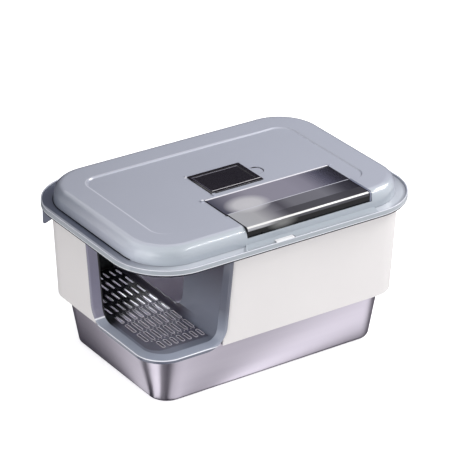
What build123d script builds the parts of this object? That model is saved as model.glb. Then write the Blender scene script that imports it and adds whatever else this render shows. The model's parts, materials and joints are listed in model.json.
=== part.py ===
from build123d import *
import os

# Enclosed litter box: a stainless pan, a white wall above it, a corner entry with a slotted
# walk-through floor, and a hinged lid with a scoop bin and a deodoriser pocket.
# Millimetres. +X is the long axis to the right, +Y the back, +Z up, origin bottom centre.

os.makedirs("parts", exist_ok=True)

# Rim ring: it sets the length and the width of the whole
LENGTH = 600.0
WIDTH = 425.3
RIM_CORNER = 107.0
LIP_T = 2.8
LIP_H = 9.2
LIP_RISE = 3.0
CHANNEL_T = 2.5
OVERHANG_X = 29.1
OVERHANG_Y = 28.05
SEAT_X = 13.9
SEAT_Y = 13.6
OPENING_R = 60.0
SKIRT_H = 12.0
SKIRT_T = 2.2
LUG_T = 3.0
LUG_DROP = 39.5
LUG_LONG = 31.0

# White wall, wider at the top
WALL_H = 185.5
WALL_T = 2.5
WALL_R = 50.0
WALL_DRAFT_X = 6.2
WALL_DRAFT_Y = 7.3
WALL_LAP = 4.0
LEDGE_T = 2.5
BAND_H = 9.0

# Pan: pressed sheet steel, wider at the top
PAN_H = 104.0
PAN_T = 1.2
PAN_INSET_X = 8.1
PAN_INSET_Y = 7.0
PAN_DRAFT_X = 24.1
PAN_DRAFT_Y = 21.5
PAN_TOP_R = 73.0
PAN_FOOT_R = 34.0
PAN_FLANGE = 3.6
PAN_HEM = 5.0

# Entry at the front left corner: widths from the centre of the wall's round corner
SILL_RISE = 8.0
ENTRY_X_LOW = 83.7
ENTRY_X_HIGH = 101.9
ENTRY_Y_LOW = 127.3
ENTRY_Y_HIGH = 150.8
FLARE_X = (12.6, 1.3)
FLARE_Y = (18.6, 0.0)
BEAD_X = (12.7, 6.8)
BEAD_Y = (17.2, 5.4)
CUT_X = (10.0, 5.3)
CUT_Y = (13.2, 4.1)
BEZEL_PROUD = 4.5
BEZEL_DROP = 13.5
BEAD_ROUND = 1.4
MOUTH_ROUND = 3.0
FUNNEL_IN = 41.5
FUNNEL_OUT = 66.0
FUNNEL_T = 2.2
FUNNEL_DROP = 12.8

# Corridor behind the entry, and its slotted floor
TUNNEL_T = 2.5
TUNNEL_REAR_GAP = 24.6
TUNNEL_HEAD_GAP = 13.5
DOOR_W = 185.0
DOOR_REAR = 28.0
DOOR_RISE = 9.0
DOOR_R = 24.0
PLATE_T = 2.2
PLATE_MARGIN_L = 6.0
PLATE_MARGIN_R = 6.9
PLATE_MARGIN_F = 17.1
PLATE_MARGIN_B = 7.0
SLOT_PITCH_X = 13.5
SLOT_PITCH_Y = 39.2
SLOT_L = 30.0
SLOT_W = 5.2
SLOT_SHORT_L = 22.0

# Lid
DOME_H = 31.6
DOME_T = 2.5
DOME_R = 86.0
DOME_TAPER = 6.0
DOME_ROUND = 17.5
GUTTER_X = 21.5
GUTTER_Y = 22.15
SHOULDER_X = 57.5
SHOULDER_Y = 60.0
PANEL_R = 30.0
PANEL_SINK = 2.0
TONGUE_T = 2.6
TONGUE_SPLAY = 14.0
KNUCKLE_R = 4.0
KNUCKLE_L = 40.0
PIN_R = 2.4
LUG_W = 5.6

# Scoop bin and its smoked flap
FLAP_X = 51.5
FLAP_W = 265.0
FLAP_BACK = -51.5
FLAP_T = 2.2
FLAP_BAR_T = 2.4
FLAP_BAR_W = 63.5
FLAP_PROUD = 3.0
FLAP_REAR_PROUD = 1.1
FLAP_FACE_H = 18.8
FLAP_ROUND = 6.0
STUB_R = 0.9
STUB_L = 12.0
BIN_DEPTH = 27.0
BIN_ROOM = 25.0
BIN_R = 10.0
BIN_T = 2.0
HOOD_LAP = 2.5
HOOD_ROOM = 16.3
RIM_LAP = 3.0
RIM_LAP_X = 4.5
RIM_ROOM = 8.8
HEAD_L = 92.0
HEAD_H = 22.0
HEAD_T = 1.2
GRIP_W = 24.0
GRIP_H = 13.0

# Deodoriser pocket in the middle of the lid
POCKET_L = 110.8
POCKET_W = 80.8
POCKET_SINK = 5.6
COVER_T = 3.6
COVER_PROUD = 2.2
BOX_DEPTH = 20.0
BOX_T = 1.6
BLOCK_H = 15.0

# Front catch
CATCH_X = -16.5
CATCH_W = 38.0
CATCH_DEEP = 7.6
CATCH_T = 2.5
CATCH_TRAVEL = 3.6
RAIL_W = 3.2
RAIL_H = 1.2

# Clearances
RUN = 0.4
PIN_RUN = 0.1
REST = 0.3

# Places that follow from the sizes
HALF_X = LENGTH / 2
HALF_Y = WIDTH / 2
WALL_TOP_X = HALF_X - OVERHANG_X
WALL_TOP_Y = HALF_Y - OVERHANG_Y
WALL_LOW_X = WALL_TOP_X - WALL_DRAFT_X
WALL_LOW_Y = WALL_TOP_Y - WALL_DRAFT_Y
PAN_TOP_X = WALL_LOW_X - PAN_INSET_X
PAN_TOP_Y = WALL_LOW_Y - PAN_INSET_Y
PAN_FOOT_X = PAN_TOP_X - PAN_DRAFT_X
PAN_FOOT_Y = PAN_TOP_Y - PAN_DRAFT_Y
OPENING_X = WALL_TOP_X - SEAT_X
OPENING_Y = WALL_TOP_Y - SEAT_Y
DOME_X = HALF_X - GUTTER_X
DOME_Y = HALF_Y - GUTTER_Y
PANEL_X = DOME_X - SHOULDER_X
PANEL_Y = DOME_Y - SHOULDER_Y

WALL_LOW_Z = PAN_H - WALL_LAP
WALL_TOP_Z = WALL_LOW_Z + WALL_H
CHANNEL_Z = WALL_TOP_Z + CHANNEL_T
RIM_Z = CHANNEL_Z + LIP_RISE
RIM_LOW_Z = RIM_Z - LIP_H
DOME_FOOT_Z = CHANNEL_Z + RUN
TOP_Z = DOME_FOOT_Z + DOME_H
PANEL_Z = TOP_Z - PANEL_SINK

CORNER_X = WALL_R - WALL_LOW_X
CORNER_Y = WALL_R - WALL_LOW_Y
SILL_Z = PAN_H + SILL_RISE
BAND_Z = WALL_TOP_Z - BAND_H
BEZEL_TOP_Z = BAND_Z - 2.0
BEZEL_LOW_Z = SILL_Z - BEZEL_DROP
CUT_LOW_Z = WALL_LOW_Z - 40.0

TUNNEL_LEFT = CORNER_X - FUNNEL_IN + 0.2
TUNNEL_FRONT = CORNER_Y - FUNNEL_IN + 0.2
TUNNEL_BACK = WALL_TOP_Y - TUNNEL_REAR_GAP
TUNNEL_TOP_Z = WALL_TOP_Z - TUNNEL_HEAD_GAP
TUNNEL_FOOT_X = CORNER_X + ENTRY_X_LOW + 3.0
TUNNEL_HEAD_X = CORNER_X + ENTRY_X_HIGH + 0.5
PLATE_LEFT = TUNNEL_LEFT + PLATE_MARGIN_L
PLATE_RIGHT = TUNNEL_FOOT_X - PLATE_MARGIN_R
PLATE_FRONT = TUNNEL_FRONT + PLATE_MARGIN_F
PLATE_BACK = TUNNEL_BACK - PLATE_MARGIN_B
PLATE_X = (PLATE_LEFT + PLATE_RIGHT) / 2
PLATE_Y = (PLATE_FRONT + PLATE_BACK) / 2
PLATE_L = PLATE_BACK - PLATE_FRONT
PLATE_W = PLATE_RIGHT - PLATE_LEFT

HINGE_X = HALF_X - RIM_CORNER - 43.0
HINGE_Y = DOME_Y + (GUTTER_Y - LIP_T) / 2 + 1.325
HINGE_Z = DOME_FOOT_Z + KNUCKLE_R + 2.2

FLAP_L = FLAP_X - FLAP_W / 2
FLAP_R = FLAP_X + FLAP_W / 2
FLAP_TOP_Z = PANEL_Z + FLAP_PROUD
FLAP_REAR_Z = PANEL_Z + FLAP_REAR_PROUD
FLAP_LOW_Z = FLAP_TOP_Z - FLAP_FACE_H
FLAP_FRONT_Y = -DOME_Y + 2.2
FLAP_BAR_Y = FLAP_FRONT_Y + FLAP_BAR_W
FLAP_PIN_R = STUB_R + 1.4
FLAP_PIN_Y = FLAP_BACK - FLAP_PIN_R - RUN
FLAP_PIN_Z = FLAP_REAR_Z - FLAP_PIN_R
HOOD_Z = PANEL_Z - 7.0
BIN_FLOOR_Z = HOOD_Z - BIN_DEPTH
BIN_L = FLAP_W - 8.0
BIN_W = FLAP_BACK - 3.0 - (-DOME_Y + BIN_ROOM)
BIN_Y = FLAP_BACK - BIN_W / 2 - 3.0
HOOD_BACK_Y = FLAP_BACK + HOOD_LAP
HOOD_FRONT_Y = FLAP_FRONT_Y + HOOD_ROOM
BIN_RIM_BACK_Y = FLAP_BACK + RIM_LAP
BIN_RIM_FRONT_Y = FLAP_FRONT_Y + RIM_ROOM
BIN_BACK_Y = BIN_Y + BIN_W / 2 + BIN_T
HEAD_W = BIN_W - 23.0
HEAD_LEFT = FLAP_X - BIN_L / 2 + 6.0
GRIP_L = BIN_L - HEAD_L - 21.0

POCKET_Z = PANEL_Z - POCKET_SINK
BOX_L = POCKET_L - 10.4
BOX_W = POCKET_W - 10.4
BOX_LOW_Z = POCKET_Z + 0.6 - BOX_DEPTH
COVER_PIN_R = STUB_R + 1.3
COVER_PIN_X = -POCKET_L / 2 + COVER_PIN_R + RUN
COVER_Z = PANEL_Z + COVER_PROUD
COVER_PIN_Z = COVER_Z - COVER_PIN_R

CATCH_FRONT_Y = -HALF_Y + 0.15
CATCH_LOW_Z = RIM_Z + REST
RAIL_L = CATCH_W - CATCH_TRAVEL - 4.0
RAIL_Y = -HALF_Y + 5.65
TONGUE_L = FLAP_L - 4.0
TONGUE_R = FLAP_R + 4.0
TONGUE_TOP_Z = DOME_FOOT_Z + TONGUE_T
TONGUE_FRONT_Y = -HALF_Y + LIP_T + 0.65
TONGUE_BACK_Y = -DOME_Y + 6.5


def wall_half(z):
    """Outer half sizes of the white wall at a height."""
    share = (z - WALL_LOW_Z) / WALL_H
    return WALL_LOW_X + WALL_DRAFT_X * share, WALL_LOW_Y + WALL_DRAFT_Y * share


def edge(low, high, z):
    """Place of a sloping edge of the entry at a height, from its places at the sill and the top."""
    return low + (high - low) * (z - SILL_Z) / (BEZEL_TOP_Z - SILL_Z)


def near(items, x, y):
    """The vertex that lies nearest to a point of its sketch."""
    return items.sort_by(lambda v: (v.X - x) ** 2 + (v.Y - y) ** 2)[0]


def long_edges(body):
    """Edges of the bezel that aren't short ones or part of its flat top."""
    return [
        e for e in body.edges()
        if e.length > 10.0 and min((e @ 0.0).Z, (e @ 1.0).Z) < BEZEL_TOP_Z - 0.05]


def lies_on(line, skin):
    """Whether an edge runs on a skin."""
    return all(skin.distance_to(line @ t) < 0.02 for t in (0.2, 0.5, 0.8))


# Litter pan
with BuildPart() as pan_inside:
    with BuildSketch(Plane.XY.offset(PAN_T)):
        RectangleRounded(2 * (PAN_FOOT_X - 1.0), 2 * (PAN_FOOT_Y - 1.0), PAN_FOOT_R - 1.0)
    with BuildSketch(Plane.XY.offset(PAN_H)):
        RectangleRounded(2 * (PAN_TOP_X - PAN_T), 2 * (PAN_TOP_Y - PAN_T), PAN_TOP_R - PAN_T)
    loft(ruled=True)
    fillet(pan_inside.faces().sort_by(Axis.Z)[0].edges(), 8.0)

with BuildPart() as litter_pan:
    with BuildSketch(Plane.XY):
        RectangleRounded(2 * PAN_FOOT_X, 2 * PAN_FOOT_Y, PAN_FOOT_R)
    with BuildSketch(Plane.XY.offset(PAN_H)):
        RectangleRounded(2 * PAN_TOP_X, 2 * PAN_TOP_Y, PAN_TOP_R)
    loft(ruled=True)
    fillet(litter_pan.faces().sort_by(Axis.Z)[0].edges(), 9.0)
    # flange and turned hem
    with BuildSketch(Plane.XY.offset(PAN_H - 1.4)):
        RectangleRounded(
            2 * (PAN_TOP_X + PAN_FLANGE), 2 * (PAN_TOP_Y + PAN_FLANGE), PAN_TOP_R + PAN_FLANGE)
    extrude(amount=1.4)
    with BuildSketch(Plane.XY.offset(PAN_H - PAN_HEM)):
        RectangleRounded(
            2 * (PAN_TOP_X + PAN_FLANGE), 2 * (PAN_TOP_Y + PAN_FLANGE), PAN_TOP_R + PAN_FLANGE)
        RectangleRounded(
            2 * (PAN_TOP_X + PAN_FLANGE - PAN_T), 2 * (PAN_TOP_Y + PAN_FLANGE - PAN_T),
            PAN_TOP_R + PAN_FLANGE - PAN_T, mode=Mode.SUBTRACT)
    extrude(amount=PAN_HEM - 0.8)
    add(pan_inside.part, mode=Mode.SUBTRACT)
litter_pan.part.label = "litter_pan"
export_step(litter_pan.part, "parts/litter_pan.step")

# White wall, open at the entry corner below its top band
with BuildPart() as wall:
    with BuildSketch(Plane.XY.offset(WALL_LOW_Z)):
        RectangleRounded(2 * WALL_LOW_X, 2 * WALL_LOW_Y, WALL_R)
    with BuildSketch(Plane.XY.offset(WALL_TOP_Z)):
        RectangleRounded(2 * WALL_TOP_X, 2 * WALL_TOP_Y, WALL_R)
    loft(ruled=True)
    with BuildSketch(Plane.XY.offset(WALL_LOW_Z)):
        RectangleRounded(2 * (WALL_LOW_X - WALL_T), 2 * (WALL_LOW_Y - WALL_T), WALL_R - WALL_T)
    with BuildSketch(Plane.XY.offset(WALL_TOP_Z)):
        RectangleRounded(2 * (WALL_TOP_X - WALL_T), 2 * (WALL_TOP_Y - WALL_T), WALL_R - WALL_T)
    loft(ruled=True, mode=Mode.SUBTRACT)
    # ledge that rests on the pan's flange
    with BuildSketch(Plane.XY.offset(PAN_H + REST)):
        RectangleRounded(2 * (WALL_LOW_X - 1.0), 2 * (WALL_LOW_Y - 1.0), WALL_R - 1.0)
        RectangleRounded(
            2 * (PAN_TOP_X - 3.1), 2 * (PAN_TOP_Y - 2.8), PAN_TOP_R - 3.0, mode=Mode.SUBTRACT)
    extrude(amount=LEDGE_T)
    # the entry corner is cut away to the bottom edge
    foot = CORNER_X + edge(ENTRY_X_LOW + CUT_X[0], ENTRY_X_HIGH + CUT_X[1], CUT_LOW_Z)
    head = CORNER_X + edge(ENTRY_X_LOW + CUT_X[0], ENTRY_X_HIGH + CUT_X[1], BAND_Z)
    with BuildSketch(Plane.XZ):
        Polygon(
            (-LENGTH, CUT_LOW_Z), (foot, CUT_LOW_Z), (head, BAND_Z), (-LENGTH, BAND_Z),
            align=None)
    extrude(amount=WIDTH, mode=Mode.SUBTRACT)
    foot = CORNER_Y + edge(ENTRY_Y_LOW + CUT_Y[0], ENTRY_Y_HIGH + CUT_Y[1], CUT_LOW_Z)
    head = CORNER_Y + edge(ENTRY_Y_LOW + CUT_Y[0], ENTRY_Y_HIGH + CUT_Y[1], BAND_Z)
    with BuildSketch(Plane.YZ.offset(-LENGTH)):
        Polygon(
            (CORNER_Y - 20.0, CUT_LOW_Z), (foot, CUT_LOW_Z), (head, BAND_Z),
            (CORNER_Y - 20.0, BAND_Z), align=None)
    extrude(amount=LENGTH + CORNER_X + 20.0, mode=Mode.SUBTRACT)
wall.part.label = "wall"
export_step(wall.part, "parts/wall.step")

# Entry bezel: a bead on the wall and a soft funnel that runs in to the corridor
BODY_FOOT_Z = BEZEL_LOW_Z - 32.5
LOW_HALF = wall_half(BODY_FOOT_Z)
HIGH_HALF = wall_half(BEZEL_TOP_Z)

with BuildPart() as bezel_body:
    with BuildSketch(Plane.XY.offset(BODY_FOOT_Z)):
        RectangleRounded(
            2 * (LOW_HALF[0] + BEZEL_PROUD), 2 * (LOW_HALF[1] + BEZEL_PROUD), WALL_R + BEZEL_PROUD)
    with BuildSketch(Plane.XY.offset(BEZEL_TOP_Z)):
        RectangleRounded(
            2 * (HIGH_HALF[0] + BEZEL_PROUD), 2 * (HIGH_HALF[1] + BEZEL_PROUD), WALL_R + BEZEL_PROUD)
    loft(ruled=True)

with BuildPart() as wall_body:
    with BuildSketch(Plane.XY.offset(BODY_FOOT_Z)):
        RectangleRounded(2 * (LOW_HALF[0] + 0.05), 2 * (LOW_HALF[1] + 0.05), WALL_R)
    with BuildSketch(Plane.XY.offset(BEZEL_TOP_Z)):
        RectangleRounded(2 * (HIGH_HALF[0] + 0.05), 2 * (HIGH_HALF[1] + 0.05), WALL_R)
    loft(ruled=True)

FUNNELS = {}
for name, grow, drop, head in (
        ("shell", 2.5, FUNNEL_T, BEZEL_TOP_Z), ("throat", 0.0, 0.0, BEZEL_TOP_Z + 56.0)):
    outer_low = SILL_Z - FUNNEL_DROP - drop
    with BuildPart() as funnel:
        # front side, along Y
        for reach, low, spread, radius in (
                (FUNNEL_OUT, outer_low, FLARE_X, 40.0), (FUNNEL_IN, SILL_Z - drop, (0.0, 0.0), 22.0)):
            foot = CORNER_X + edge(ENTRY_X_LOW + spread[0], ENTRY_X_HIGH + spread[1], low) + grow
            top = CORNER_X + edge(ENTRY_X_LOW + spread[0], ENTRY_X_HIGH + spread[1], head) + grow
            with BuildSketch(Plane.XZ.offset(-CORNER_Y + reach)) as outline:
                Polygon((CORNER_X, low), (foot, low), (top, head), (CORNER_X, head), align=None)
                fillet(near(outline.vertices(), foot, low), radius)
        loft(ruled=True)
        # left side, along X
        for reach, low, spread, radius in (
                (FUNNEL_OUT, outer_low, FLARE_Y, 40.0), (FUNNEL_IN, SILL_Z - drop, (0.0, 0.0), 28.0)):
            foot = CORNER_Y + edge(ENTRY_Y_LOW + spread[0], ENTRY_Y_HIGH + spread[1], low) + grow
            top = CORNER_Y + edge(ENTRY_Y_LOW + spread[0], ENTRY_Y_HIGH + spread[1], head) + grow
            with BuildSketch(Plane.YZ.offset(CORNER_X - reach)) as outline:
                Polygon((CORNER_Y, low), (foot, low), (top, head), (CORNER_Y, head), align=None)
                fillet(near(outline.vertices(), foot, low), radius)
        loft(ruled=True)
        # round corner between them
        with BuildSketch(Plane.XZ.offset(-CORNER_Y)):
            Polygon(
                (CORNER_X - FUNNEL_IN, SILL_Z - drop), (CORNER_X - FUNNEL_OUT, outer_low),
                (CORNER_X - FUNNEL_OUT, head), (CORNER_X - FUNNEL_IN, head), align=None)
        revolve(axis=Axis((CORNER_X, CORNER_Y, 0), (0, 0, 1)), revolution_arc=90)
    FUNNELS[name] = funnel.part

with BuildPart() as funnel_shell:
    add(FUNNELS["shell"])
    add(bezel_body.part, mode=Mode.INTERSECT)

with BuildPart() as entry_bezel:
    add(bezel_body.part)
    add(wall_body.part, mode=Mode.SUBTRACT)
    add(funnel_shell.part)
    # outside edge of the bead: front side, then left side
    foot = CORNER_X + ENTRY_X_LOW + BEAD_X[0]
    head = CORNER_X + ENTRY_X_HIGH + BEAD_X[1]
    with BuildSketch(Plane.XZ.offset(-WIDTH)) as outline:
        Polygon(
            (-LENGTH, BEZEL_LOW_Z), (foot, BEZEL_LOW_Z), (head, BEZEL_TOP_Z), (-LENGTH, BEZEL_TOP_Z),
            align=None)
        fillet(near(outline.vertices(), foot, BEZEL_LOW_Z), 42.0)
    extrude(amount=2 * WIDTH, mode=Mode.INTERSECT)
    foot = CORNER_Y + ENTRY_Y_LOW + BEAD_Y[0]
    head = CORNER_Y + ENTRY_Y_HIGH + BEAD_Y[1]
    with BuildSketch(Plane.YZ.offset(-LENGTH)) as outline:
        Polygon(
            (-WIDTH, BEZEL_LOW_Z), (foot, BEZEL_LOW_Z), (head, BEZEL_TOP_Z), (-WIDTH, BEZEL_TOP_Z),
            align=None)
        fillet(near(outline.vertices(), foot, BEZEL_LOW_Z), 42.0)
    extrude(amount=2 * LENGTH, mode=Mode.INTERSECT)
    add(FUNNELS["throat"], mode=Mode.SUBTRACT)
    # rounded edges of the bead: the outside, then the one that runs in to the throat
    skin, throat = bezel_body.part.shell(), FUNNELS["throat"].shell()
    fillet([e for e in long_edges(entry_bezel) if lies_on(e, skin) and not lies_on(e, throat)],
           BEAD_ROUND)
    fillet([e for e in long_edges(entry_bezel) if lies_on(e, skin) and lies_on(e, throat)],
           MOUTH_ROUND)
entry_bezel.part.label = "entry_bezel"
export_step(entry_bezel.part, "parts/entry_bezel.step")

# Corridor that leads back from the entry, open to the litter on its right
with BuildPart() as tunnel_inside:
    with BuildSketch(Plane.XZ.offset(HALF_Y)) as section:
        Polygon(
            (TUNNEL_LEFT + TUNNEL_T, SILL_Z), (TUNNEL_FOOT_X, SILL_Z),
            (TUNNEL_HEAD_X, TUNNEL_TOP_Z + 10.0), (TUNNEL_LEFT + TUNNEL_T, TUNNEL_TOP_Z + 10.0),
            align=None)
        fillet(near(section.vertices(), TUNNEL_FOOT_X, SILL_Z), 8.0)
    extrude(amount=-HALF_Y - TUNNEL_BACK + TUNNEL_T)
    fillet(
        tunnel_inside.edges().filter_by(Axis.Z).group_by(Axis.X)[0].sort_by(Axis.Y)[-1], 39.0)

with BuildPart() as entry_tunnel:
    with BuildSketch(Plane.XZ.offset(-TUNNEL_FRONT)):
        Polygon(
            (TUNNEL_LEFT, SILL_Z - TUNNEL_T), (TUNNEL_FOOT_X + TUNNEL_T - 0.2, SILL_Z - TUNNEL_T),
            (TUNNEL_HEAD_X + TUNNEL_T, TUNNEL_TOP_Z), (TUNNEL_LEFT, TUNNEL_TOP_Z), align=None)
    extrude(amount=TUNNEL_FRONT - TUNNEL_BACK)
    fillet(entry_tunnel.edges().filter_by(Axis.Z).group_by(Axis.X)[0], FUNNEL_IN - 0.2)
    add(tunnel_inside.part, mode=Mode.SUBTRACT)
    # the left wall starts behind the entry
    foot = CORNER_Y + ENTRY_Y_LOW
    head = CORNER_Y + edge(ENTRY_Y_LOW, ENTRY_Y_HIGH, TUNNEL_TOP_Z + 8.0)
    with BuildSketch(Plane.YZ.offset(-HALF_X)) as outline:
        Polygon(
            (-HALF_Y, SILL_Z), (foot, SILL_Z), (head, TUNNEL_TOP_Z + 8.0),
            (-HALF_Y, TUNNEL_TOP_Z + 8.0), align=None)
        fillet(near(outline.vertices(), foot, SILL_Z), 28.0)
    extrude(amount=HALF_X + CORNER_X + 14.7, mode=Mode.SUBTRACT)
    # way through to the litter
    with BuildSketch(Plane.YZ.offset(TUNNEL_FOOT_X - 22.0)):
        with Locations((
                TUNNEL_BACK - DOOR_REAR - DOOR_W / 2,
                (SILL_Z + DOOR_RISE + TUNNEL_TOP_Z - 10.0) / 2)):
            RectangleRounded(DOOR_W, TUNNEL_TOP_Z - 10.0 - SILL_Z - DOOR_RISE, DOOR_R)
    extrude(amount=60, mode=Mode.SUBTRACT)
    # window and ledge for the slotted floor
    with BuildSketch(Plane.XY.offset(SILL_Z - TUNNEL_T - 1.5)) as ledge:
        with Locations((PLATE_X, PLATE_Y)):
            Rectangle(PLATE_W + 8.0, PLATE_L + 8.0)
        fillet(near(ledge.vertices(), PLATE_LEFT, PLATE_FRONT), 30.0)
        fillet(near(ledge.vertices(), PLATE_LEFT, PLATE_BACK), 30.0)
    extrude(amount=1.5)
    with BuildSketch(Plane.XY.offset(SILL_Z - TUNNEL_T)) as window:
        with Locations((PLATE_X, PLATE_Y)):
            Rectangle(PLATE_W + 2 * REST, PLATE_L + 2 * REST)
        fillet(near(window.vertices(), PLATE_LEFT, PLATE_FRONT), 26.3)
        fillet(near(window.vertices(), PLATE_LEFT, PLATE_BACK), 26.3)
    extrude(amount=TUNNEL_T + 1.0, mode=Mode.SUBTRACT)
    with BuildSketch(Plane.XY.offset(SILL_Z - TUNNEL_T - 2.0)) as gap:
        with Locations((PLATE_X, PLATE_Y)):
            Rectangle(PLATE_W - 5.0, PLATE_L - 5.0)
        fillet(near(gap.vertices(), PLATE_LEFT, PLATE_FRONT), 24.0)
        fillet(near(gap.vertices(), PLATE_LEFT, PLATE_BACK), 24.0)
    extrude(amount=3.0, mode=Mode.SUBTRACT)
entry_tunnel.part.label = "entry_tunnel"
export_step(entry_tunnel.part, "parts/entry_tunnel.step")

# Slotted floor that lifts out of the corridor
COLUMN_COUNT = int((PLATE_W - 15.6) / SLOT_PITCH_X) + 1
ROW_COUNT = int((PLATE_L - 28.5) / SLOT_PITCH_Y) + 1
COLUMNS = [PLATE_RIGHT - 5.6 - SLOT_PITCH_X * i for i in range(COLUMN_COUNT)]
ROWS = [PLATE_FRONT + 16.5 + SLOT_PITCH_Y * i for i in range(ROW_COUNT)]
FULL = [(x, y) for y in ROWS[1:-1] for x in COLUMNS]
SHORT = [(x, y) for y in (ROWS[0] + 2.0, ROWS[-1] - 3.0) for x in COLUMNS[:-1]]
with BuildPart() as filter_plate:
    with BuildSketch(Plane.XY.offset(SILL_Z - PLATE_T)) as plan:
        with Locations((PLATE_X, PLATE_Y)):
            Rectangle(PLATE_W, PLATE_L)
        fillet(near(plan.vertices(), PLATE_LEFT, PLATE_FRONT), 26.0)
        fillet(near(plan.vertices(), PLATE_LEFT, PLATE_BACK), 26.0)
        with Locations(*FULL):
            SlotOverall(SLOT_L, SLOT_W, rotation=90, mode=Mode.SUBTRACT)
        with Locations(*SHORT):
            SlotOverall(SLOT_SHORT_L, SLOT_W, rotation=90, mode=Mode.SUBTRACT)
    extrude(amount=PLATE_T)
filter_plate.part.label = "filter_plate"
export_step(filter_plate.part, "parts/filter_plate.step")

# Rim ring on top of the wall: channel, lip, inner skirt, hinge lugs and two side lugs
with BuildPart() as rim_ring:
    with BuildSketch(Plane.XY.offset(RIM_LOW_Z)):
        RectangleRounded(2 * HALF_X, 2 * HALF_Y, RIM_CORNER)
        RectangleRounded(
            2 * (HALF_X - LIP_T), 2 * (HALF_Y - LIP_T), RIM_CORNER - LIP_T, mode=Mode.SUBTRACT)
    extrude(amount=LIP_H)
    fillet(rim_ring.faces().sort_by(Axis.Z)[-1].edges(), 1.2)
    with BuildSketch(Plane.XY.offset(WALL_TOP_Z)):
        RectangleRounded(2 * (HALF_X - 1.0), 2 * (HALF_Y - 1.0), RIM_CORNER - 1.0)
        RectangleRounded(2 * OPENING_X, 2 * OPENING_Y, OPENING_R, mode=Mode.SUBTRACT)
    extrude(amount=CHANNEL_T)
    # skirt that goes inside the wall
    with BuildSketch(Plane.XY.offset(CHANNEL_Z - SKIRT_H)):
        RectangleRounded(
            2 * (WALL_TOP_X - WALL_T - 1.2), 2 * (WALL_TOP_Y - WALL_T - 1.3), WALL_R - WALL_T - 1.0)
        RectangleRounded(
            2 * (WALL_TOP_X - WALL_T - 1.2 - SKIRT_T), 2 * (WALL_TOP_Y - WALL_T - 1.3 - SKIRT_T),
            WALL_R - WALL_T - 1.0 - SKIRT_T, mode=Mode.SUBTRACT)
    extrude(amount=SKIRT_H - 1.0)
    # hinge lugs, one at each end of each knuckle
    for side in (-HINGE_X, HINGE_X):
        for x in (side - KNUCKLE_L / 2 - RUN - LUG_W, side + KNUCKLE_L / 2 + RUN):
            with BuildSketch(Plane.YZ.offset(x)):
                with Locations((HINGE_Y, HINGE_Z)):
                    Circle(KNUCKLE_R)
                Polygon(
                    (HINGE_Y - KNUCKLE_R, CHANNEL_Z - 0.5), (HINGE_Y + KNUCKLE_R, CHANNEL_Z - 0.5),
                    (HINGE_Y + KNUCKLE_R, HINGE_Z), (HINGE_Y - KNUCKLE_R, HINGE_Z), align=None)
                with Locations((HINGE_Y, HINGE_Z)):
                    Circle(PIN_R, mode=Mode.SUBTRACT)
            extrude(amount=LUG_W)
    # side lugs that hang under the lip near the back corners
    lug_back = HALF_Y - 60.65
    lug_low = WALL_TOP_Z - LUG_DROP
    for x in (-HALF_X + 13.5, HALF_X - 13.5 - LUG_T):
        with BuildSketch(Plane.YZ.offset(x)) as lug:
            Polygon(
                (lug_back - LUG_LONG, WALL_TOP_Z + 0.5), (lug_back, WALL_TOP_Z + 0.5),
                (lug_back, lug_low), (lug_back - 5.0, lug_low), (lug_back - LUG_LONG, lug_low + 20.0),
                align=None)
            fillet(near(lug.vertices(), lug_back, lug_low), 2.4)
            fillet(near(lug.vertices(), lug_back - 5.0, lug_low), 2.4)
        extrude(amount=LUG_T)
rim_ring.part.label = "rim_ring"
export_step(rim_ring.part, "parts/rim_ring.step")

# Lid: domed shell with a sunk panel
with BuildPart() as dome_inside:
    with BuildSketch(Plane.XY.offset(DOME_FOOT_Z - 1.0)):
        RectangleRounded(2 * (DOME_X - DOME_T), 2 * (DOME_Y - DOME_T), DOME_R - DOME_T)
    extrude(amount=DOME_H - DOME_T + 1.0, taper=DOME_TAPER)
    fillet(dome_inside.faces().sort_by(Axis.Z)[-1].edges(), DOME_ROUND - DOME_T)
    with BuildSketch(Plane.XY.offset(PANEL_Z - DOME_T)):
        RectangleRounded(2 * (PANEL_X + 3.0), 2 * (PANEL_Y + 3.0), PANEL_R + 3.0)
    extrude(amount=10.0, mode=Mode.SUBTRACT)

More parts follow.
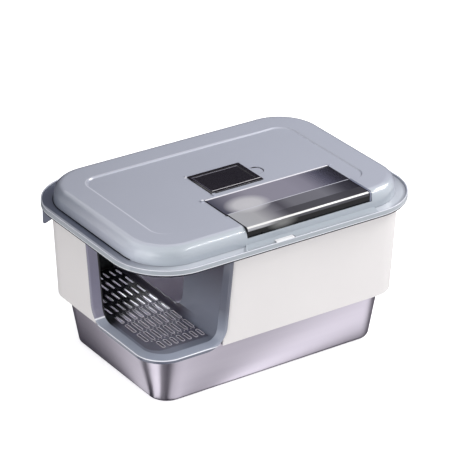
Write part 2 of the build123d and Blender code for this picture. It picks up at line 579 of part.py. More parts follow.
with BuildPart() as lid:
    with BuildSketch(Plane.XY.offset(DOME_FOOT_Z)):
        RectangleRounded(2 * DOME_X, 2 * DOME_Y, DOME_R)
    extrude(amount=DOME_H, taper=DOME_TAPER)
    fillet(lid.faces().sort_by(Axis.Z)[-1].edges(), DOME_ROUND)
    with BuildSketch(Plane.XY.offset(PANEL_Z)):
        RectangleRounded(2 * (PANEL_X - 3.0), 2 * (PANEL_Y - 3.0), PANEL_R - 3.0)
    extrude(amount=PANEL_SINK + 0.4, taper=-50, mode=Mode.SUBTRACT)
    add(dome_inside.part, mode=Mode.SUBTRACT)
    # skirts round the opening for the scoop bin
    with BuildSketch(Plane.XY.offset(HOOD_Z)):
        with Locations((FLAP_X, (HOOD_BACK_Y + HOOD_FRONT_Y) / 2)):
            Rectangle(FLAP_W + 4 * HOOD_LAP, HOOD_BACK_Y - HOOD_FRONT_Y)
    extrude(amount=5.6)
    # walls and ledge of the deodoriser pocket
    with BuildSketch(Plane.XY.offset(POCKET_Z - 2.0)):
        RectangleRounded(POCKET_L + 8.0, POCKET_W + 8.0, 4.0)
    extrude(amount=6.0)
    # raised pads over the ends of the hinge stubs
    with BuildSketch(Plane.XY.offset(PANEL_Z - 1.0)):
        with Locations(
                (FLAP_L - 3.2, FLAP_PIN_Y), (FLAP_R + 3.2, FLAP_PIN_Y),
                (COVER_PIN_X, POCKET_W / 2 + 3.2), (COVER_PIN_X, -POCKET_W / 2 - 3.2)):
            RectangleRounded(6.4, 6.4, 1.5)
    extrude(amount=COVER_PROUD + 0.8)
    # opening for the flap, through the shoulder and down the front
    with BuildSketch(Plane.XY.offset(FLAP_LOW_Z - RUN)):
        with Locations((FLAP_X, FLAP_BACK - HALF_Y / 2)):
            Rectangle(FLAP_W, HALF_Y)
    extrude(amount=30.0, mode=Mode.SUBTRACT)
    # deodoriser pocket
    with BuildSketch(Plane.XY.offset(POCKET_Z)):
        Rectangle(POCKET_L, POCKET_W)
    extrude(amount=20.0, mode=Mode.SUBTRACT)
    with BuildSketch(Plane.XY.offset(POCKET_Z - 12.0)):
        RectangleRounded(BOX_L + 0.6, BOX_W + 0.6, 3.0)
    extrude(amount=20.0, mode=Mode.SUBTRACT)
    # finger notch beside the pocket
    with BuildSketch(Plane.XY.offset(PANEL_Z - 1.3)) as notch:
        with Locations((POCKET_L / 2 + 11.8, -1.0)):
            Rectangle(24.8, 28.0)
        fillet(notch.vertices().group_by(Axis.X)[-1], 13.0)
    extrude(amount=5.0, mode=Mode.SUBTRACT)
    # notch in the foot that the front tongue goes through
    with BuildSketch(Plane.XY.offset(DOME_FOOT_Z - 1.0)):
        with Locations((FLAP_X, -DOME_Y)):
            Rectangle(TONGUE_R - TONGUE_L, 16.0)
    extrude(amount=TONGUE_T + 1.0, mode=Mode.SUBTRACT)
    # hinge knuckles at the back
    for side in (-HINGE_X, HINGE_X):
        with BuildSketch(Plane.YZ.offset(side - KNUCKLE_L / 2)):
            with Locations((HINGE_Y, HINGE_Z)):
                Circle(KNUCKLE_R)
            Polygon(
                (DOME_Y - 3.0, HINGE_Z - 3.4), (HINGE_Y, HINGE_Z - 3.4), (HINGE_Y, HINGE_Z + 3.6),
                (DOME_Y - 3.0, HINGE_Z + 3.6), align=None)
        extrude(amount=KNUCKLE_L)
        with BuildSketch(Plane.YZ.offset(side - KNUCKLE_L / 2 - 1.0)):
            with Locations((HINGE_Y, HINGE_Z)):
                Circle(PIN_R + PIN_RUN)
        extrude(amount=KNUCKLE_L + 2.0, mode=Mode.SUBTRACT)
    # bores for the flap's and the cover's stubs
    with BuildSketch(Plane.YZ.offset(FLAP_L - 5.6)):
        with Locations((FLAP_PIN_Y, FLAP_PIN_Z)):
            Circle(STUB_R + PIN_RUN)
    extrude(amount=FLAP_W + 11.2, mode=Mode.SUBTRACT)
    with BuildSketch(Plane.XZ.offset(-POCKET_W / 2 - 5.6)):
        with Locations((COVER_PIN_X, COVER_PIN_Z)):
            Circle(STUB_R + PIN_RUN)
    extrude(amount=POCKET_W + 11.2, mode=Mode.SUBTRACT)
lid.part.label = "lid"
export_step(lid.part, "parts/lid.step")

# Front tongue of the lid, over the rim's channel, with a rail for the catch
with BuildPart() as lid_tongue:
    with BuildSketch(Plane.XY.offset(DOME_FOOT_Z)) as tongue:
        Polygon(
            (TONGUE_L + 0.1, TONGUE_BACK_Y), (TONGUE_L + 0.1, -DOME_Y),
            (TONGUE_L - TONGUE_SPLAY, TONGUE_FRONT_Y), (TONGUE_R - 5.0, TONGUE_FRONT_Y),
            (TONGUE_R - 0.1, -DOME_Y), (TONGUE_R - 0.1, TONGUE_BACK_Y), align=None)
    extrude(amount=TONGUE_T)
    with BuildSketch(Plane.YZ.offset(CATCH_X - RAIL_L / 2 + CATCH_TRAVEL / 2)):
        Polygon(
            (RAIL_Y - RAIL_W / 2 + 0.6, TONGUE_TOP_Z - 0.2),
            (RAIL_Y + RAIL_W / 2 - 0.6, TONGUE_TOP_Z - 0.2),
            (RAIL_Y + RAIL_W / 2, TONGUE_TOP_Z + RAIL_H), (RAIL_Y - RAIL_W / 2, TONGUE_TOP_Z + RAIL_H),
            align=None)
    extrude(amount=RAIL_L)
lid_tongue.part.label = "lid_tongue"
export_step(lid_tongue.part, "parts/lid_tongue.step")

# Two steel pins at the back of the lid, pressed in the lugs
with BuildPart() as hinge_pins:
    for side in (-HINGE_X, HINGE_X):
        with BuildSketch(Plane.YZ.offset(side - KNUCKLE_L / 2 - RUN - LUG_W - 0.5)):
            with Locations((HINGE_Y, HINGE_Z)):
                Circle(PIN_R)
        extrude(amount=KNUCKLE_L + 2 * (RUN + LUG_W + 0.5))
hinge_pins.part.label = "hinge_pins"
export_step(hinge_pins.part, "parts/hinge_pins.step")

# Sliding catch on the tongue's rail, over the lip of the rim
with BuildPart() as front_catch:
    with BuildSketch(Plane.XY.offset(CATCH_LOW_Z)):
        with Locations((CATCH_X, CATCH_FRONT_Y + CATCH_DEEP / 2)):
            Rectangle(CATCH_W, CATCH_DEEP)
    extrude(amount=CATCH_T)
    fillet(front_catch.faces().sort_by(Axis.Z)[-1].edges().sort_by(Axis.Y)[0], 0.8)
    with BuildSketch(Plane.YZ.offset(CATCH_X - CATCH_W / 2)):
        Polygon(
            (RAIL_Y - RAIL_W / 2 + 0.6 - REST, CATCH_LOW_Z - 0.5),
            (RAIL_Y + RAIL_W / 2 - 0.6 + REST, CATCH_LOW_Z - 0.5),
            (RAIL_Y + RAIL_W / 2 + REST, TONGUE_TOP_Z + RAIL_H + REST),
            (RAIL_Y - RAIL_W / 2 - REST, TONGUE_TOP_Z + RAIL_H + REST), align=None)
    extrude(amount=CATCH_W, mode=Mode.SUBTRACT)
front_catch.part.label = "front_catch"
export_step(front_catch.part, "parts/front_catch.step")

# Bin under the flap
with BuildPart() as scoop_bin:
    with BuildSketch(Plane.XY.offset(BIN_FLOOR_Z - BIN_T)):
        with Locations((FLAP_X, BIN_Y)):
            RectangleRounded(BIN_L + 2 * BIN_T, BIN_W + 2 * BIN_T, BIN_R + BIN_T)
    extrude(amount=BIN_DEPTH + BIN_T)
    with BuildSketch(Plane.XY.offset(HOOD_Z - 2.2)):
        with Locations((FLAP_X, (BIN_RIM_BACK_Y + BIN_RIM_FRONT_Y) / 2)):
            Rectangle(FLAP_W + 2 * RIM_LAP_X, BIN_RIM_BACK_Y - BIN_RIM_FRONT_Y)
    extrude(amount=2.2)
    with BuildSketch(Plane.XY.offset(BIN_FLOOR_Z)):
        with Locations((FLAP_X, BIN_Y)):
            RectangleRounded(BIN_L, BIN_W, BIN_R)
    extrude(amount=40.0, mode=Mode.SUBTRACT)
scoop_bin.part.label = "scoop_bin"
export_step(scoop_bin.part, "parts/scoop_bin.step")

# Smoked flap: flat rear, raised front bar, square bend and a front face
with BuildPart() as bin_flap:
    with BuildSketch(Plane.YZ.offset(FLAP_L + RUN)) as section:
        Polygon(
            (FLAP_PIN_Y, FLAP_REAR_Z), (FLAP_BAR_Y + 2.5, FLAP_REAR_Z), (FLAP_BAR_Y, FLAP_TOP_Z),
            (FLAP_FRONT_Y, FLAP_TOP_Z), (FLAP_FRONT_Y, FLAP_LOW_Z),
            (FLAP_FRONT_Y + FLAP_BAR_T, FLAP_LOW_Z),
            (FLAP_FRONT_Y + FLAP_BAR_T, FLAP_TOP_Z - FLAP_BAR_T),
            (FLAP_BAR_Y + 1.0, FLAP_TOP_Z - FLAP_BAR_T), (FLAP_BAR_Y + 3.0, FLAP_REAR_Z - FLAP_T),
            (FLAP_PIN_Y, FLAP_REAR_Z - FLAP_T), align=None)
        fillet(near(section.vertices(), FLAP_FRONT_Y, FLAP_TOP_Z), FLAP_ROUND)
        fillet(
            near(section.vertices(), FLAP_FRONT_Y + FLAP_BAR_T, FLAP_TOP_Z - FLAP_BAR_T),
            FLAP_ROUND - FLAP_BAR_T)
        with Locations((FLAP_PIN_Y, FLAP_PIN_Z)):
            Circle(FLAP_PIN_R)
    extrude(amount=FLAP_W - 2 * RUN)
    # cheeks that close the ends of the bar
    for x in (FLAP_L + RUN, FLAP_R - RUN - FLAP_T):
        with BuildSketch(Plane.YZ.offset(x)) as cheek:
            Polygon(
                (FLAP_FRONT_Y + 39.3, FLAP_TOP_Z - 1.0), (FLAP_FRONT_Y + 39.3, FLAP_TOP_Z - 9.0),
                (FLAP_FRONT_Y + 7.3, FLAP_TOP_Z - 9.0), (FLAP_FRONT_Y + 7.3, FLAP_LOW_Z),
                (FLAP_FRONT_Y + 1.0, FLAP_LOW_Z), (FLAP_FRONT_Y + 1.0, FLAP_TOP_Z - 5.5),
                (FLAP_FRONT_Y + 6.3, FLAP_TOP_Z - 1.0), align=None)
        extrude(amount=FLAP_T)
    with BuildSketch(Plane.YZ.offset(FLAP_L - 1.0)):
        with Locations((FLAP_PIN_Y, FLAP_PIN_Z)):
            Circle(STUB_R)
    extrude(amount=FLAP_W + 2.0, mode=Mode.SUBTRACT)
bin_flap.part.label = "bin_flap"
export_step(bin_flap.part, "parts/bin_flap.step")

with BuildPart() as flap_pins:
    for x in (FLAP_L - 5.0, FLAP_R + 5.0 - STUB_L):
        with BuildSketch(Plane.YZ.offset(x)):
            with Locations((FLAP_PIN_Y, FLAP_PIN_Z)):
                Circle(STUB_R)
        extrude(amount=STUB_L)
flap_pins.part.label = "flap_pins"
export_step(flap_pins.part, "parts/flap_pins.step")

# Scoop lying in the bin: slotted head and a plain handle
with BuildPart() as scoop_head:
    with BuildSketch(Plane.XY.offset(BIN_FLOOR_Z)) as plan:
        with Locations((HEAD_LEFT + HEAD_L / 2, BIN_Y)):
            Rectangle(HEAD_L, HEAD_W)
        fillet(plan.vertices().group_by(Axis.X)[-1], 14.0)
    extrude(amount=HEAD_H)
    with BuildSketch(Plane.XY.offset(BIN_FLOOR_Z + HEAD_T)) as plan:
        with Locations((HEAD_LEFT + HEAD_L / 2 - 3.0, BIN_Y)):
            Rectangle(HEAD_L + 6.0 - 2 * HEAD_T, HEAD_W - 2 * HEAD_T)
        fillet(plan.vertices().group_by(Axis.X)[-1], 12.8)
    extrude(amount=HEAD_H, mode=Mode.SUBTRACT)
    with BuildSketch(Plane.XY.offset(BIN_FLOOR_Z - 1.0)):
        with Locations((HEAD_LEFT + HEAD_L / 2 - 6.0, BIN_Y)):
            with GridLocations(10.0, 10.0, 1, 7):
                SlotOverall(58.0, 5.0)
    extrude(amount=4.0, mode=Mode.SUBTRACT)
scoop_head.part.label = "scoop_head"
export_step(scoop_head.part, "parts/scoop_head.step")

with BuildPart() as scoop_handle:
    with BuildSketch(Plane.YZ.offset(HEAD_LEFT + HEAD_L)):
        with Locations((BIN_Y, BIN_FLOOR_Z + HEAD_H - GRIP_H / 2 - 1.5)):
            RectangleRounded(GRIP_W, GRIP_H, 5.0)
    extrude(amount=GRIP_L)
scoop_handle.part.label = "scoop_handle"
export_step(scoop_handle.part, "parts/scoop_handle.step")

# Deodoriser box, its block, and the black cover
with BuildPart() as deodoriser_box:
    with BuildSketch(Plane.XY.offset(POCKET_Z)):
        with Locations((3.0, 0.0)):
            Rectangle(POCKET_L - 6.8, POCKET_W - 2 * RUN)
    extrude(amount=BOX_T)
    with BuildSketch(Plane.XY.offset(BOX_LOW_Z)):
        RectangleRounded(BOX_L, BOX_W, 3.0)
    extrude(amount=BOX_DEPTH)
    with BuildSketch(Plane.XY.offset(BOX_LOW_Z + BOX_T)):
        RectangleRounded(BOX_L - 2 * BOX_T, BOX_W - 2 * BOX_T, 2.0)
    extrude(amount=BOX_DEPTH + 10.0, mode=Mode.SUBTRACT)
    with BuildSketch(Plane.XY.offset(BOX_LOW_Z - 1.0)):
        with GridLocations(20.0, 14.0, 1, 4):
            SlotOverall(BOX_L - 26.0, 5.0)
    extrude(amount=5.0, mode=Mode.SUBTRACT)
deodoriser_box.part.label = "deodoriser_box"
export_step(deodoriser_box.part, "parts/deodoriser_box.step")

with BuildPart() as deodoriser_block:
    with BuildSketch(Plane.XY.offset(BOX_LOW_Z + BOX_T)):
        RectangleRounded(BOX_L - 2 * BOX_T - 2.2, BOX_W - 2 * BOX_T - 2.2, 3.0)
    extrude(amount=BLOCK_H)
deodoriser_block.part.label = "deodoriser_block"
export_step(deodoriser_block.part, "parts/deodoriser_block.step")

with BuildPart() as pocket_cover:
    with BuildSketch(Plane.XZ.offset(-POCKET_W / 2 + RUN)):
        Polygon(
            (COVER_PIN_X, COVER_Z - COVER_T), (POCKET_L / 2 - RUN, COVER_Z - COVER_T),
            (POCKET_L / 2 - RUN, COVER_Z), (COVER_PIN_X, COVER_Z), align=None)
        with Locations((COVER_PIN_X, COVER_PIN_Z)):
            Circle(COVER_PIN_R)
    extrude(amount=POCKET_W - 2 * RUN)
    with BuildSketch(Plane.XY.offset(COVER_Z - 0.8)):
        RectangleRounded(POCKET_L - 19.0, POCKET_W - 17.0, 2.0)
    extrude(amount=2.0, mode=Mode.SUBTRACT)
    with BuildSketch(Plane.XZ.offset(-POCKET_W / 2 - 1.0)):
        with Locations((COVER_PIN_X, COVER_PIN_Z)):
            Circle(STUB_R)
    extrude(amount=POCKET_W + 2.0, mode=Mode.SUBTRACT)
pocket_cover.part.label = "pocket_cover"
export_step(pocket_cover.part, "parts/pocket_cover.step")

with BuildPart() as cover_pins:
    for y in (-POCKET_W / 2 - 5.0, POCKET_W / 2 + 5.0 - STUB_L):
        with BuildSketch(Plane.XZ.offset(-y)):
            with Locations((COVER_PIN_X, COVER_PIN_Z)):
                Circle(STUB_R)
        extrude(amount=-STUB_L)
cover_pins.part.label = "cover_pins"
export_step(cover_pins.part, "parts/cover_pins.step")
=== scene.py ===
"""Looks of the enclosed stainless steel litter box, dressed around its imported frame.

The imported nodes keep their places. This script gives each of them its finish, adds the
pieces that carry the fine detail, and sets a plain studio round them. Sizes are in
millimetres in the part classes, and in metres in the finishes and the studio.
"""

from __future__ import annotations

import json
import logging
import math
from collections.abc import Callable
from dataclasses import dataclass
from enum import Enum
from functools import reduce

import bmesh
import bpy
from mathutils import Matrix, Vector

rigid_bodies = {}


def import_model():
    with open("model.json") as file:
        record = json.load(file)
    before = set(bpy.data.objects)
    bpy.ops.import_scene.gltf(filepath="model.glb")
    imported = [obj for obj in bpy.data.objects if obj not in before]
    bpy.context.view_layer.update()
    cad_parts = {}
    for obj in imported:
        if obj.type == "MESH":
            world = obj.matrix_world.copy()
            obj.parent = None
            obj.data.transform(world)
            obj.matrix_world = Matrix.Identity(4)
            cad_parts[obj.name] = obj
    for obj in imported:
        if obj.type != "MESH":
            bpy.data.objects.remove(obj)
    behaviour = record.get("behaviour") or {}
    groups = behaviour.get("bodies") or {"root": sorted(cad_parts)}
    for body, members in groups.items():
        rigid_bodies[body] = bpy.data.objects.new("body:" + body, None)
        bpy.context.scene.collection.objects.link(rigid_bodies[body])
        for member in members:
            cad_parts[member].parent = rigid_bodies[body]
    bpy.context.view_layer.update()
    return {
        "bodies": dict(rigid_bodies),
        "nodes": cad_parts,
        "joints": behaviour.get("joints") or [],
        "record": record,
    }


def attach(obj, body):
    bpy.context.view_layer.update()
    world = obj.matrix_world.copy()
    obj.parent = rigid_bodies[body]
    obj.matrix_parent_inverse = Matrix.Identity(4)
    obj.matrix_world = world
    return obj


Colour = tuple[float, float, float]
Point = tuple[float, float, float]
Span = tuple[float, float]
Stops = tuple[tuple[float, Colour], ...]
Band = tuple[float, float, float]
Tones = tuple[Span, ...]
Socket = bpy.types.NodeSocket
Object = bpy.types.Object
Material = bpy.types.Material

LOG = logging.getLogger("litter_box")
MM = 0.001
WHITE: Colour = (1.0, 1.0, 1.0)
ORIGIN: Point = (0.0, 0.0, 0.0)
# The way down the corridor, along which painted shade deepens on its floor, its walls and the
# slots' rims.
INWARD: Point = (-0.59, 1.0, 0.0)


class Slot(Enum):
    """Material slots of the record."""

    PAN = "steel_pan"
    WALL = "white_wall"
    ENTRY = "slate_entry"
    FLOOR = "slate_floor"
    LID = "lid_grey"
    SMOKED = "smoked"
    BLACK = "black_gloss"
    CATCH = "catch_white"
    BIN = "bin_grey"
    PIN = "pin_steel"
    SCOOP = "scoop_steel"
    GRIP = "scoop_grip"
    BLOCK = "block_black"


def srgb(red: int, green: int, blue: int) -> Colour:
    """Turns an 8-bit colour into the linear values that a shader takes.

    Args:
        red: Red from 0 to 255.
        green: Green from 0 to 255.
        blue: Blue from 0 to 255.

    Returns:
        The linear colour.
    """
    def linear(value: float) -> float:
        """Turns one 8-bit channel into a linear value."""
        value /= 255.0
        return value / 12.92 if value <= 0.04045 else ((value + 0.055) / 1.055) ** 2.4
    return linear(red), linear(green), linear(blue)


def grey(tone: float) -> Colour:
    """Makes a grey of one linear tone."""
    return tone, tone, tone


class NodeBoard:
    """Places and links the nodes of one node tree."""

    def __init__(self, tree: bpy.types.NodeTree) -> None:
        """Empties a node tree and takes it over."""
        self.tree = tree
        self.tree.nodes.clear()

    def link(self, source: Socket, target: Socket) -> None:
        """Links two sockets."""
        self.tree.links.new(source, target)

    def node(self, kind: str, output: str | int, inputs: dict, **settings: str) -> Socket:
        """Adds a node and fills its sockets.

        Args:
            kind: Type of the node, without its first word.
            output: Which of its outputs is wanted.
            inputs: What goes into its sockets, a link or a plain value.
            settings: Its other settings.

        Returns:
            The wanted output.
        """
        node = self.tree.nodes.new("ShaderNode" + kind)
        for key, value in settings.items():
            setattr(node, key, value)
        for key, value in inputs.items():
            if isinstance(value, Socket):
                self.link(value, node.inputs[key])
            else:
                node.inputs[key].default_value = value
        return node.outputs[output]

    def seen(self) -> Socket:
        """Adds a value that is 1 for camera, glossy and transmission rays.

        Returns:
            The value.
        """
        rays = self.tree.nodes.new("ShaderNodeLightPath").outputs
        value = rays["Is Camera Ray"]
        for ray in ("Is Glossy Ray", "Is Transmission Ray"):
            value = self.node("Math", "Value", {0: value, 1: rays[ray]}, operation="MAXIMUM")
        return value


class Board(NodeBoard):
    """Places and links the nodes of one material, with its patterns on Object coordinates."""

    def __init__(self, name: str) -> None:
        """Starts a material with its shader and its output.

        Args:
            name: Name of the material.
        """
        self.material = bpy.data.materials.new(name)
        self.material.use_nodes = True
        super().__init__(self.material.node_tree)
        self.output = self.tree.nodes.new("ShaderNodeOutputMaterial")
        self.shader = self.tree.nodes.new("ShaderNodeBsdfPrincipled")
        self.link(self.shader.outputs["BSDF"], self.output.inputs["Surface"])
        self.coords = self.tree.nodes.new("ShaderNodeTexCoord").outputs["Object"]

    def set(self, **values: float | Colour | Socket) -> None:
        """Sets or links sockets of the shader.

        Args:
            values: What goes into them by name, with underscores for spaces.
        """
        for key, value in values.items():
            socket = self.shader.inputs[key.replace("_", " ")]
            if isinstance(value, Socket):
                self.link(value, socket)
            else:
                socket.default_value = (*value, 1.0) if isinstance(value, tuple) else value

    def noise(self, scale: Point, detail: float = 2.0) -> Socket:
        """Adds a noise pattern.

        Args:
            scale: Cycles per metre along each axis.
            detail: Octaves of the noise.

        Returns:
            The grey value of the pattern.
        """
        place = self.node("Mapping", "Vector", {"Vector": self.coords, "Scale": scale})
        return self.node("TexNoise", "Fac", {"Vector": place, "Scale": 1.0, "Detail": detail})

    def grain(self, roughness: float, sway: float, scale: float, depth: float = 0.0) -> None:
        """Gives the shader a fine grain in its roughness and, if wanted, in its surface.

        Args:
            roughness: Its mean roughness.
            sway: Share by which the roughness goes up and down.
            scale: Grains per metre.
            depth: Depth of the grain in metres, 0 for none.
        """
        fine = self.noise((scale,) * 3)
        self.set(Roughness=self.spread(
            fine, roughness * (1.0 - sway), roughness * (1.0 + sway)))
        if depth:
            self.set(Normal=self.node("Bump", "Normal", {"Height": fine, "Distance": depth}))

    def axes(self) -> tuple[Socket, Socket, Socket]:
        """Splits the Object coordinates.

        Returns:
            The places along X, Y and Z in metres.
        """
        parts = self.tree.nodes.new("ShaderNodeSeparateXYZ")
        self.link(self.coords, parts.inputs["Vector"])
        return tuple(parts.outputs)

    def slope(self, direction: Point) -> Socket:
        """Measures how far a point lies along a direction, in metres."""
        return self.node(
            "VectorMath", "Value", {0: self.coords, 1: direction}, operation="DOT_PRODUCT")

    def outline(self, half_x: float, half_y: float, corner: float,
                centre: Span = (0.0, 0.0)) -> Socket:
        """Measures the distance from the outline of a rectangle with round corners.

        Args:
            half_x: Half its length in metres.
            half_y: Half its width.
            corner: Radius of its corners.
            centre: Its middle.

        Returns:
            The distance, below 0 inside.
        """
        point = self.coords
        for operation, value in (
                ("SUBTRACT", (*centre, 0.0)), ("ABSOLUTE", ORIGIN),
                ("SUBTRACT", (half_x - corner, half_y - corner, 0.0)),
                ("MAXIMUM", ORIGIN), ("MULTIPLY", (1.0, 1.0, 0.0)), ("LENGTH", ORIGIN)):
            point = self.node(
                "VectorMath", "Value" if operation == "LENGTH" else "Vector",
                {0: point, 1: value}, operation=operation)
        return self.spread(point, -corner, 1.0 - corner)

    def spot(self, centre: Point, reach: Point) -> Socket:
        """Makes a soft round mask.

        Args:
            centre: Its centre in metres.
            reach: Its half size along each axis in metres.

        Returns:
            The mask, 1 at the centre.
        """
        place = self.node(
            "Mapping", "Vector", {"Vector": self.coords, "Location": centre, "Scale": reach},
            vector_type="TEXTURE")
        return self.node("TexGradient", "Fac", {"Vector": place}, gradient_type="SPHERICAL")

    def ramp(self, value: Socket, stops: Stops) -> Socket:
        """Turns a grey value into a colour.

        Args:
            value: The grey value.
            stops: Places and colours of the ramp.

        Returns:
            The colour.
        """
        node = self.tree.nodes.new("ShaderNodeValToRGB")
        elements = node.color_ramp.elements
        while len(elements) < len(stops):
            elements.new(0.5)
        for element, (place, colour) in zip(elements, stops):
            element.position = place
            element.color = (*colour, 1.0)
        self.link(value, node.inputs["Fac"])
        return node.outputs["Color"]

    def spread(self, value: Socket, low: float, high: float, span: Span = (0.0, 1.0)) -> Socket:
        """Maps a value from one range to another.

        Args:
            value: The value.
            low: Result at the start.
            high: Result at the end.
            span: Start and end of the value's range.

        Returns:
            The mapped value.
        """
        return self.node("MapRange", "Result", {
            "Value": value, "From Min": span[0], "From Max": span[1],
            "To Min": low, "To Max": high})

    def rise(self, value: Socket, span: Span) -> Socket:
        """Makes a mask that grows from 0 to 1 over a span."""
        return self.spread(value, 0.0, 1.0, span)

    def fall(self, value: Socket, span: Span) -> Socket:
        """Makes a mask that sinks from 1 to 0 over a span."""
        return self.spread(value, 1.0, 0.0, span)

    def band(self, value: Socket, edges: Band) -> Socket:
        """Makes a mask that is 1 over a band and fades outside it.

        Args:
            value: The value.
            edges: Where the band starts and ends, and how wide it fades.

        Returns:
            The mask.
        """
        start, end, soft = edges
        return self.times(
            self.rise(value, (start - soft, start)), self.fall(value, (end, end + soft)))

    def times(self, first: Socket, second: Socket) -> Socket:
        """Multiplies two values."""
        return self.node("Math", "Value", {0: first, 1: second}, operation="MULTIPLY")

    def lay(self, below: Socket, above: Colour | Socket, *masks: Socket) -> Socket:
        """Lays a colour over another where all the masks say.

        Args:
            below: The colour below.
            above: The colour above.
            masks: The masks.

        Returns:
            The mixed colour.
        """
        above = (*above, 1.0) if isinstance(above, tuple) else above
        return self.node(
            "Mix", 2, {"Factor": reduce(self.times, masks), 6: below, 7: above},
            data_type="RGBA")


@dataclass(frozen=True)
class Finish:
    """What all finishes have: a name, a plain colour and room for tones of their own.

    A tone's fields that end in x, y, z, in, at or from say where it lies, in metres.
    """

    name: str
    colour: Colour

    def paint(self, board: Board, tone: Socket) -> Socket:
        """Leaves the plain colour as it is."""
        return tone


@dataclass(frozen=True)
class Plastic(Finish):
    """A moulded plastic with a faint cloud in its colour and a fine moulded grain."""

    roughness: float = 0.4
    coat: float = 0.0
    coat_roughness: float = 0.08
    cloud_and_highlight: float = 0.04
    cloud_scale: float = 7.0
    grain: float = 0.00002
    grain_scale: float = 900.0
    sway: float = 0.08
    specular: float = 0.5

    def make(self) -> Material:
        """Builds the material.

        Returns:
            The material.
        """
        board = Board(self.name)
        low = tuple(c * (1.0 - self.cloud_and_highlight) for c in self.colour)
        high = tuple(min(1.0, c * (1.0 + self.cloud_and_highlight)) for c in self.colour)
        cloud_and_highlight = board.noise((self.cloud_scale,) * 3, 3.0)
        board.set(
            Coat_Weight=self.coat, Coat_Roughness=self.coat_roughness,
            Specular_IOR_Level=self.specular,
            Base_Color=self.paint(board, board.ramp(cloud_and_highlight, ((0.3, low), (0.7, high)))))
        board.grain(self.roughness, self.sway, self.grain_scale, self.grain)
        return board.material


@dataclass(frozen=True)
class BrushedSteel(Finish):
    """Stainless sheet with a level grain, which draws what it mirrors out upwards."""

    dark: Colour
    roughness: float = 0.3
    anisotropy: float = 0.0
    turn: float = 0.25
    metal: float = 1.0
    stretch: Point = (2.0, 2.0, 40.0)
    grain: float = 0.000004
    grain_scale: float = 900.0
    sway: float = 0.1

    def make(self) -> Material:
        """Builds the material.

        Returns:
            The material.
        """
        board = Board(self.name)
        streaks = board.ramp(
            board.noise(self.stretch, 3.0), ((0.25, self.dark), (0.75, self.colour)))
        board.set(
            Metallic=self.metal, Anisotropic=self.anisotropy, Anisotropic_Rotation=self.turn,
            Tangent=board.node("Tangent", "Tangent", {}, direction_type="RADIAL", axis="Z"),
            Base_Color=self.paint(board, streaks))
        board.grain(self.roughness, self.sway, self.grain_scale, self.grain)
        return board.material


@dataclass(frozen=True)
class LidPlastic(Plastic):
    """The lid's plastic, with painted shade on its sides and in its notch, and painted
    highlights on the panel's step and where the hinges sit.
    """

    # Painted shade on the dome's left side, darkest towards the back.
    left_x: Span = (-0.275, -0.218)
    left_z: Span = (0.3175, 0.3195)
    left_y: Span = (-0.16, 0.12)
    left: Stops = (
        (0.0, srgb(192, 200, 207)), (0.12, srgb(204, 209, 219)),
        (0.45, srgb(188, 191, 203)), (1.0, srgb(144, 150, 163)))
    # Painted shade on the dome's front side.
    front_y: Span = (-0.176, -0.150)
    front_z: Span = (0.3185, 0.3198)
    front: Colour = srgb(171, 178, 186)
    # A painted highlight on the step round the sunk panel, on its left and back sides.
    panel: Point = (0.2222, 0.1317, 0.031)
    edge_in: Band = (-0.0011, 0.0011, 0.0008)
    edge_way: Point = (-1.0, 1.3, 0.0)
    edge_from: Span = (0.02, 0.10)
    edge: Colour = srgb(206, 207, 218)
    # Painted shade along the right end of the finger notch's outline.
    notch_half: Point = (0.024, 0.014, 0.0135)
    notch_centre: Span = (0.055, -0.001)
    notch_in: Band = (-0.0009, 0.0004, 0.0003)
    notch_x: Span = (0.062, 0.067)
    notch: Colour = srgb(42, 40, 46)
    # Painted highlights where the hinges of the flap and of the cover sit.
    knuckle_highlight_places: tuple[Point, ...] = ((-0.0835, -0.0535, 0.318), (-0.0572, 0.0418, 0.318))
    knuckle_highlight_reach: Point = (0.0034, 0.0034, 0.02)
    knuckle_highlight_fade: Span = (0.2, 0.4)
    knuckle_highlight: Colour = srgb(238, 238, 243)

    def paint(self, board: Board, tone: Socket) -> Socket:
        """Paints shade on the lid's left and front sides and in the notch, and highlights on
        the step of its panel and where the hinges sit.

        Args:
            board: Board of the material.
            tone: The plain colour.

        Returns:
            The painted colour.
        """
        x, y, z = board.axes()
        tone = board.lay(
            tone, self.front, board.fall(y, self.front_y), board.fall(z, self.front_z))
        left = board.ramp(board.rise(y, self.left_y), self.left)
        tone = board.lay(tone, left, board.fall(x, self.left_x), board.fall(z, self.left_z))
        step = board.band(board.outline(*self.panel), self.edge_in)
        away = board.rise(board.slope(self.edge_way), self.edge_from)
        tone = board.lay(tone, self.edge, step, away)
        arc = board.band(board.outline(*self.notch_half, self.notch_centre), self.notch_in)
        tone = board.lay(tone, self.notch, arc, board.rise(x, self.notch_x))
        for place in self.knuckle_highlight_places:
            ball = board.rise(board.spot(place, self.knuckle_highlight_reach), self.knuckle_highlight_fade)
            tone = board.lay(tone, self.knuckle_highlight, ball)
        return tone


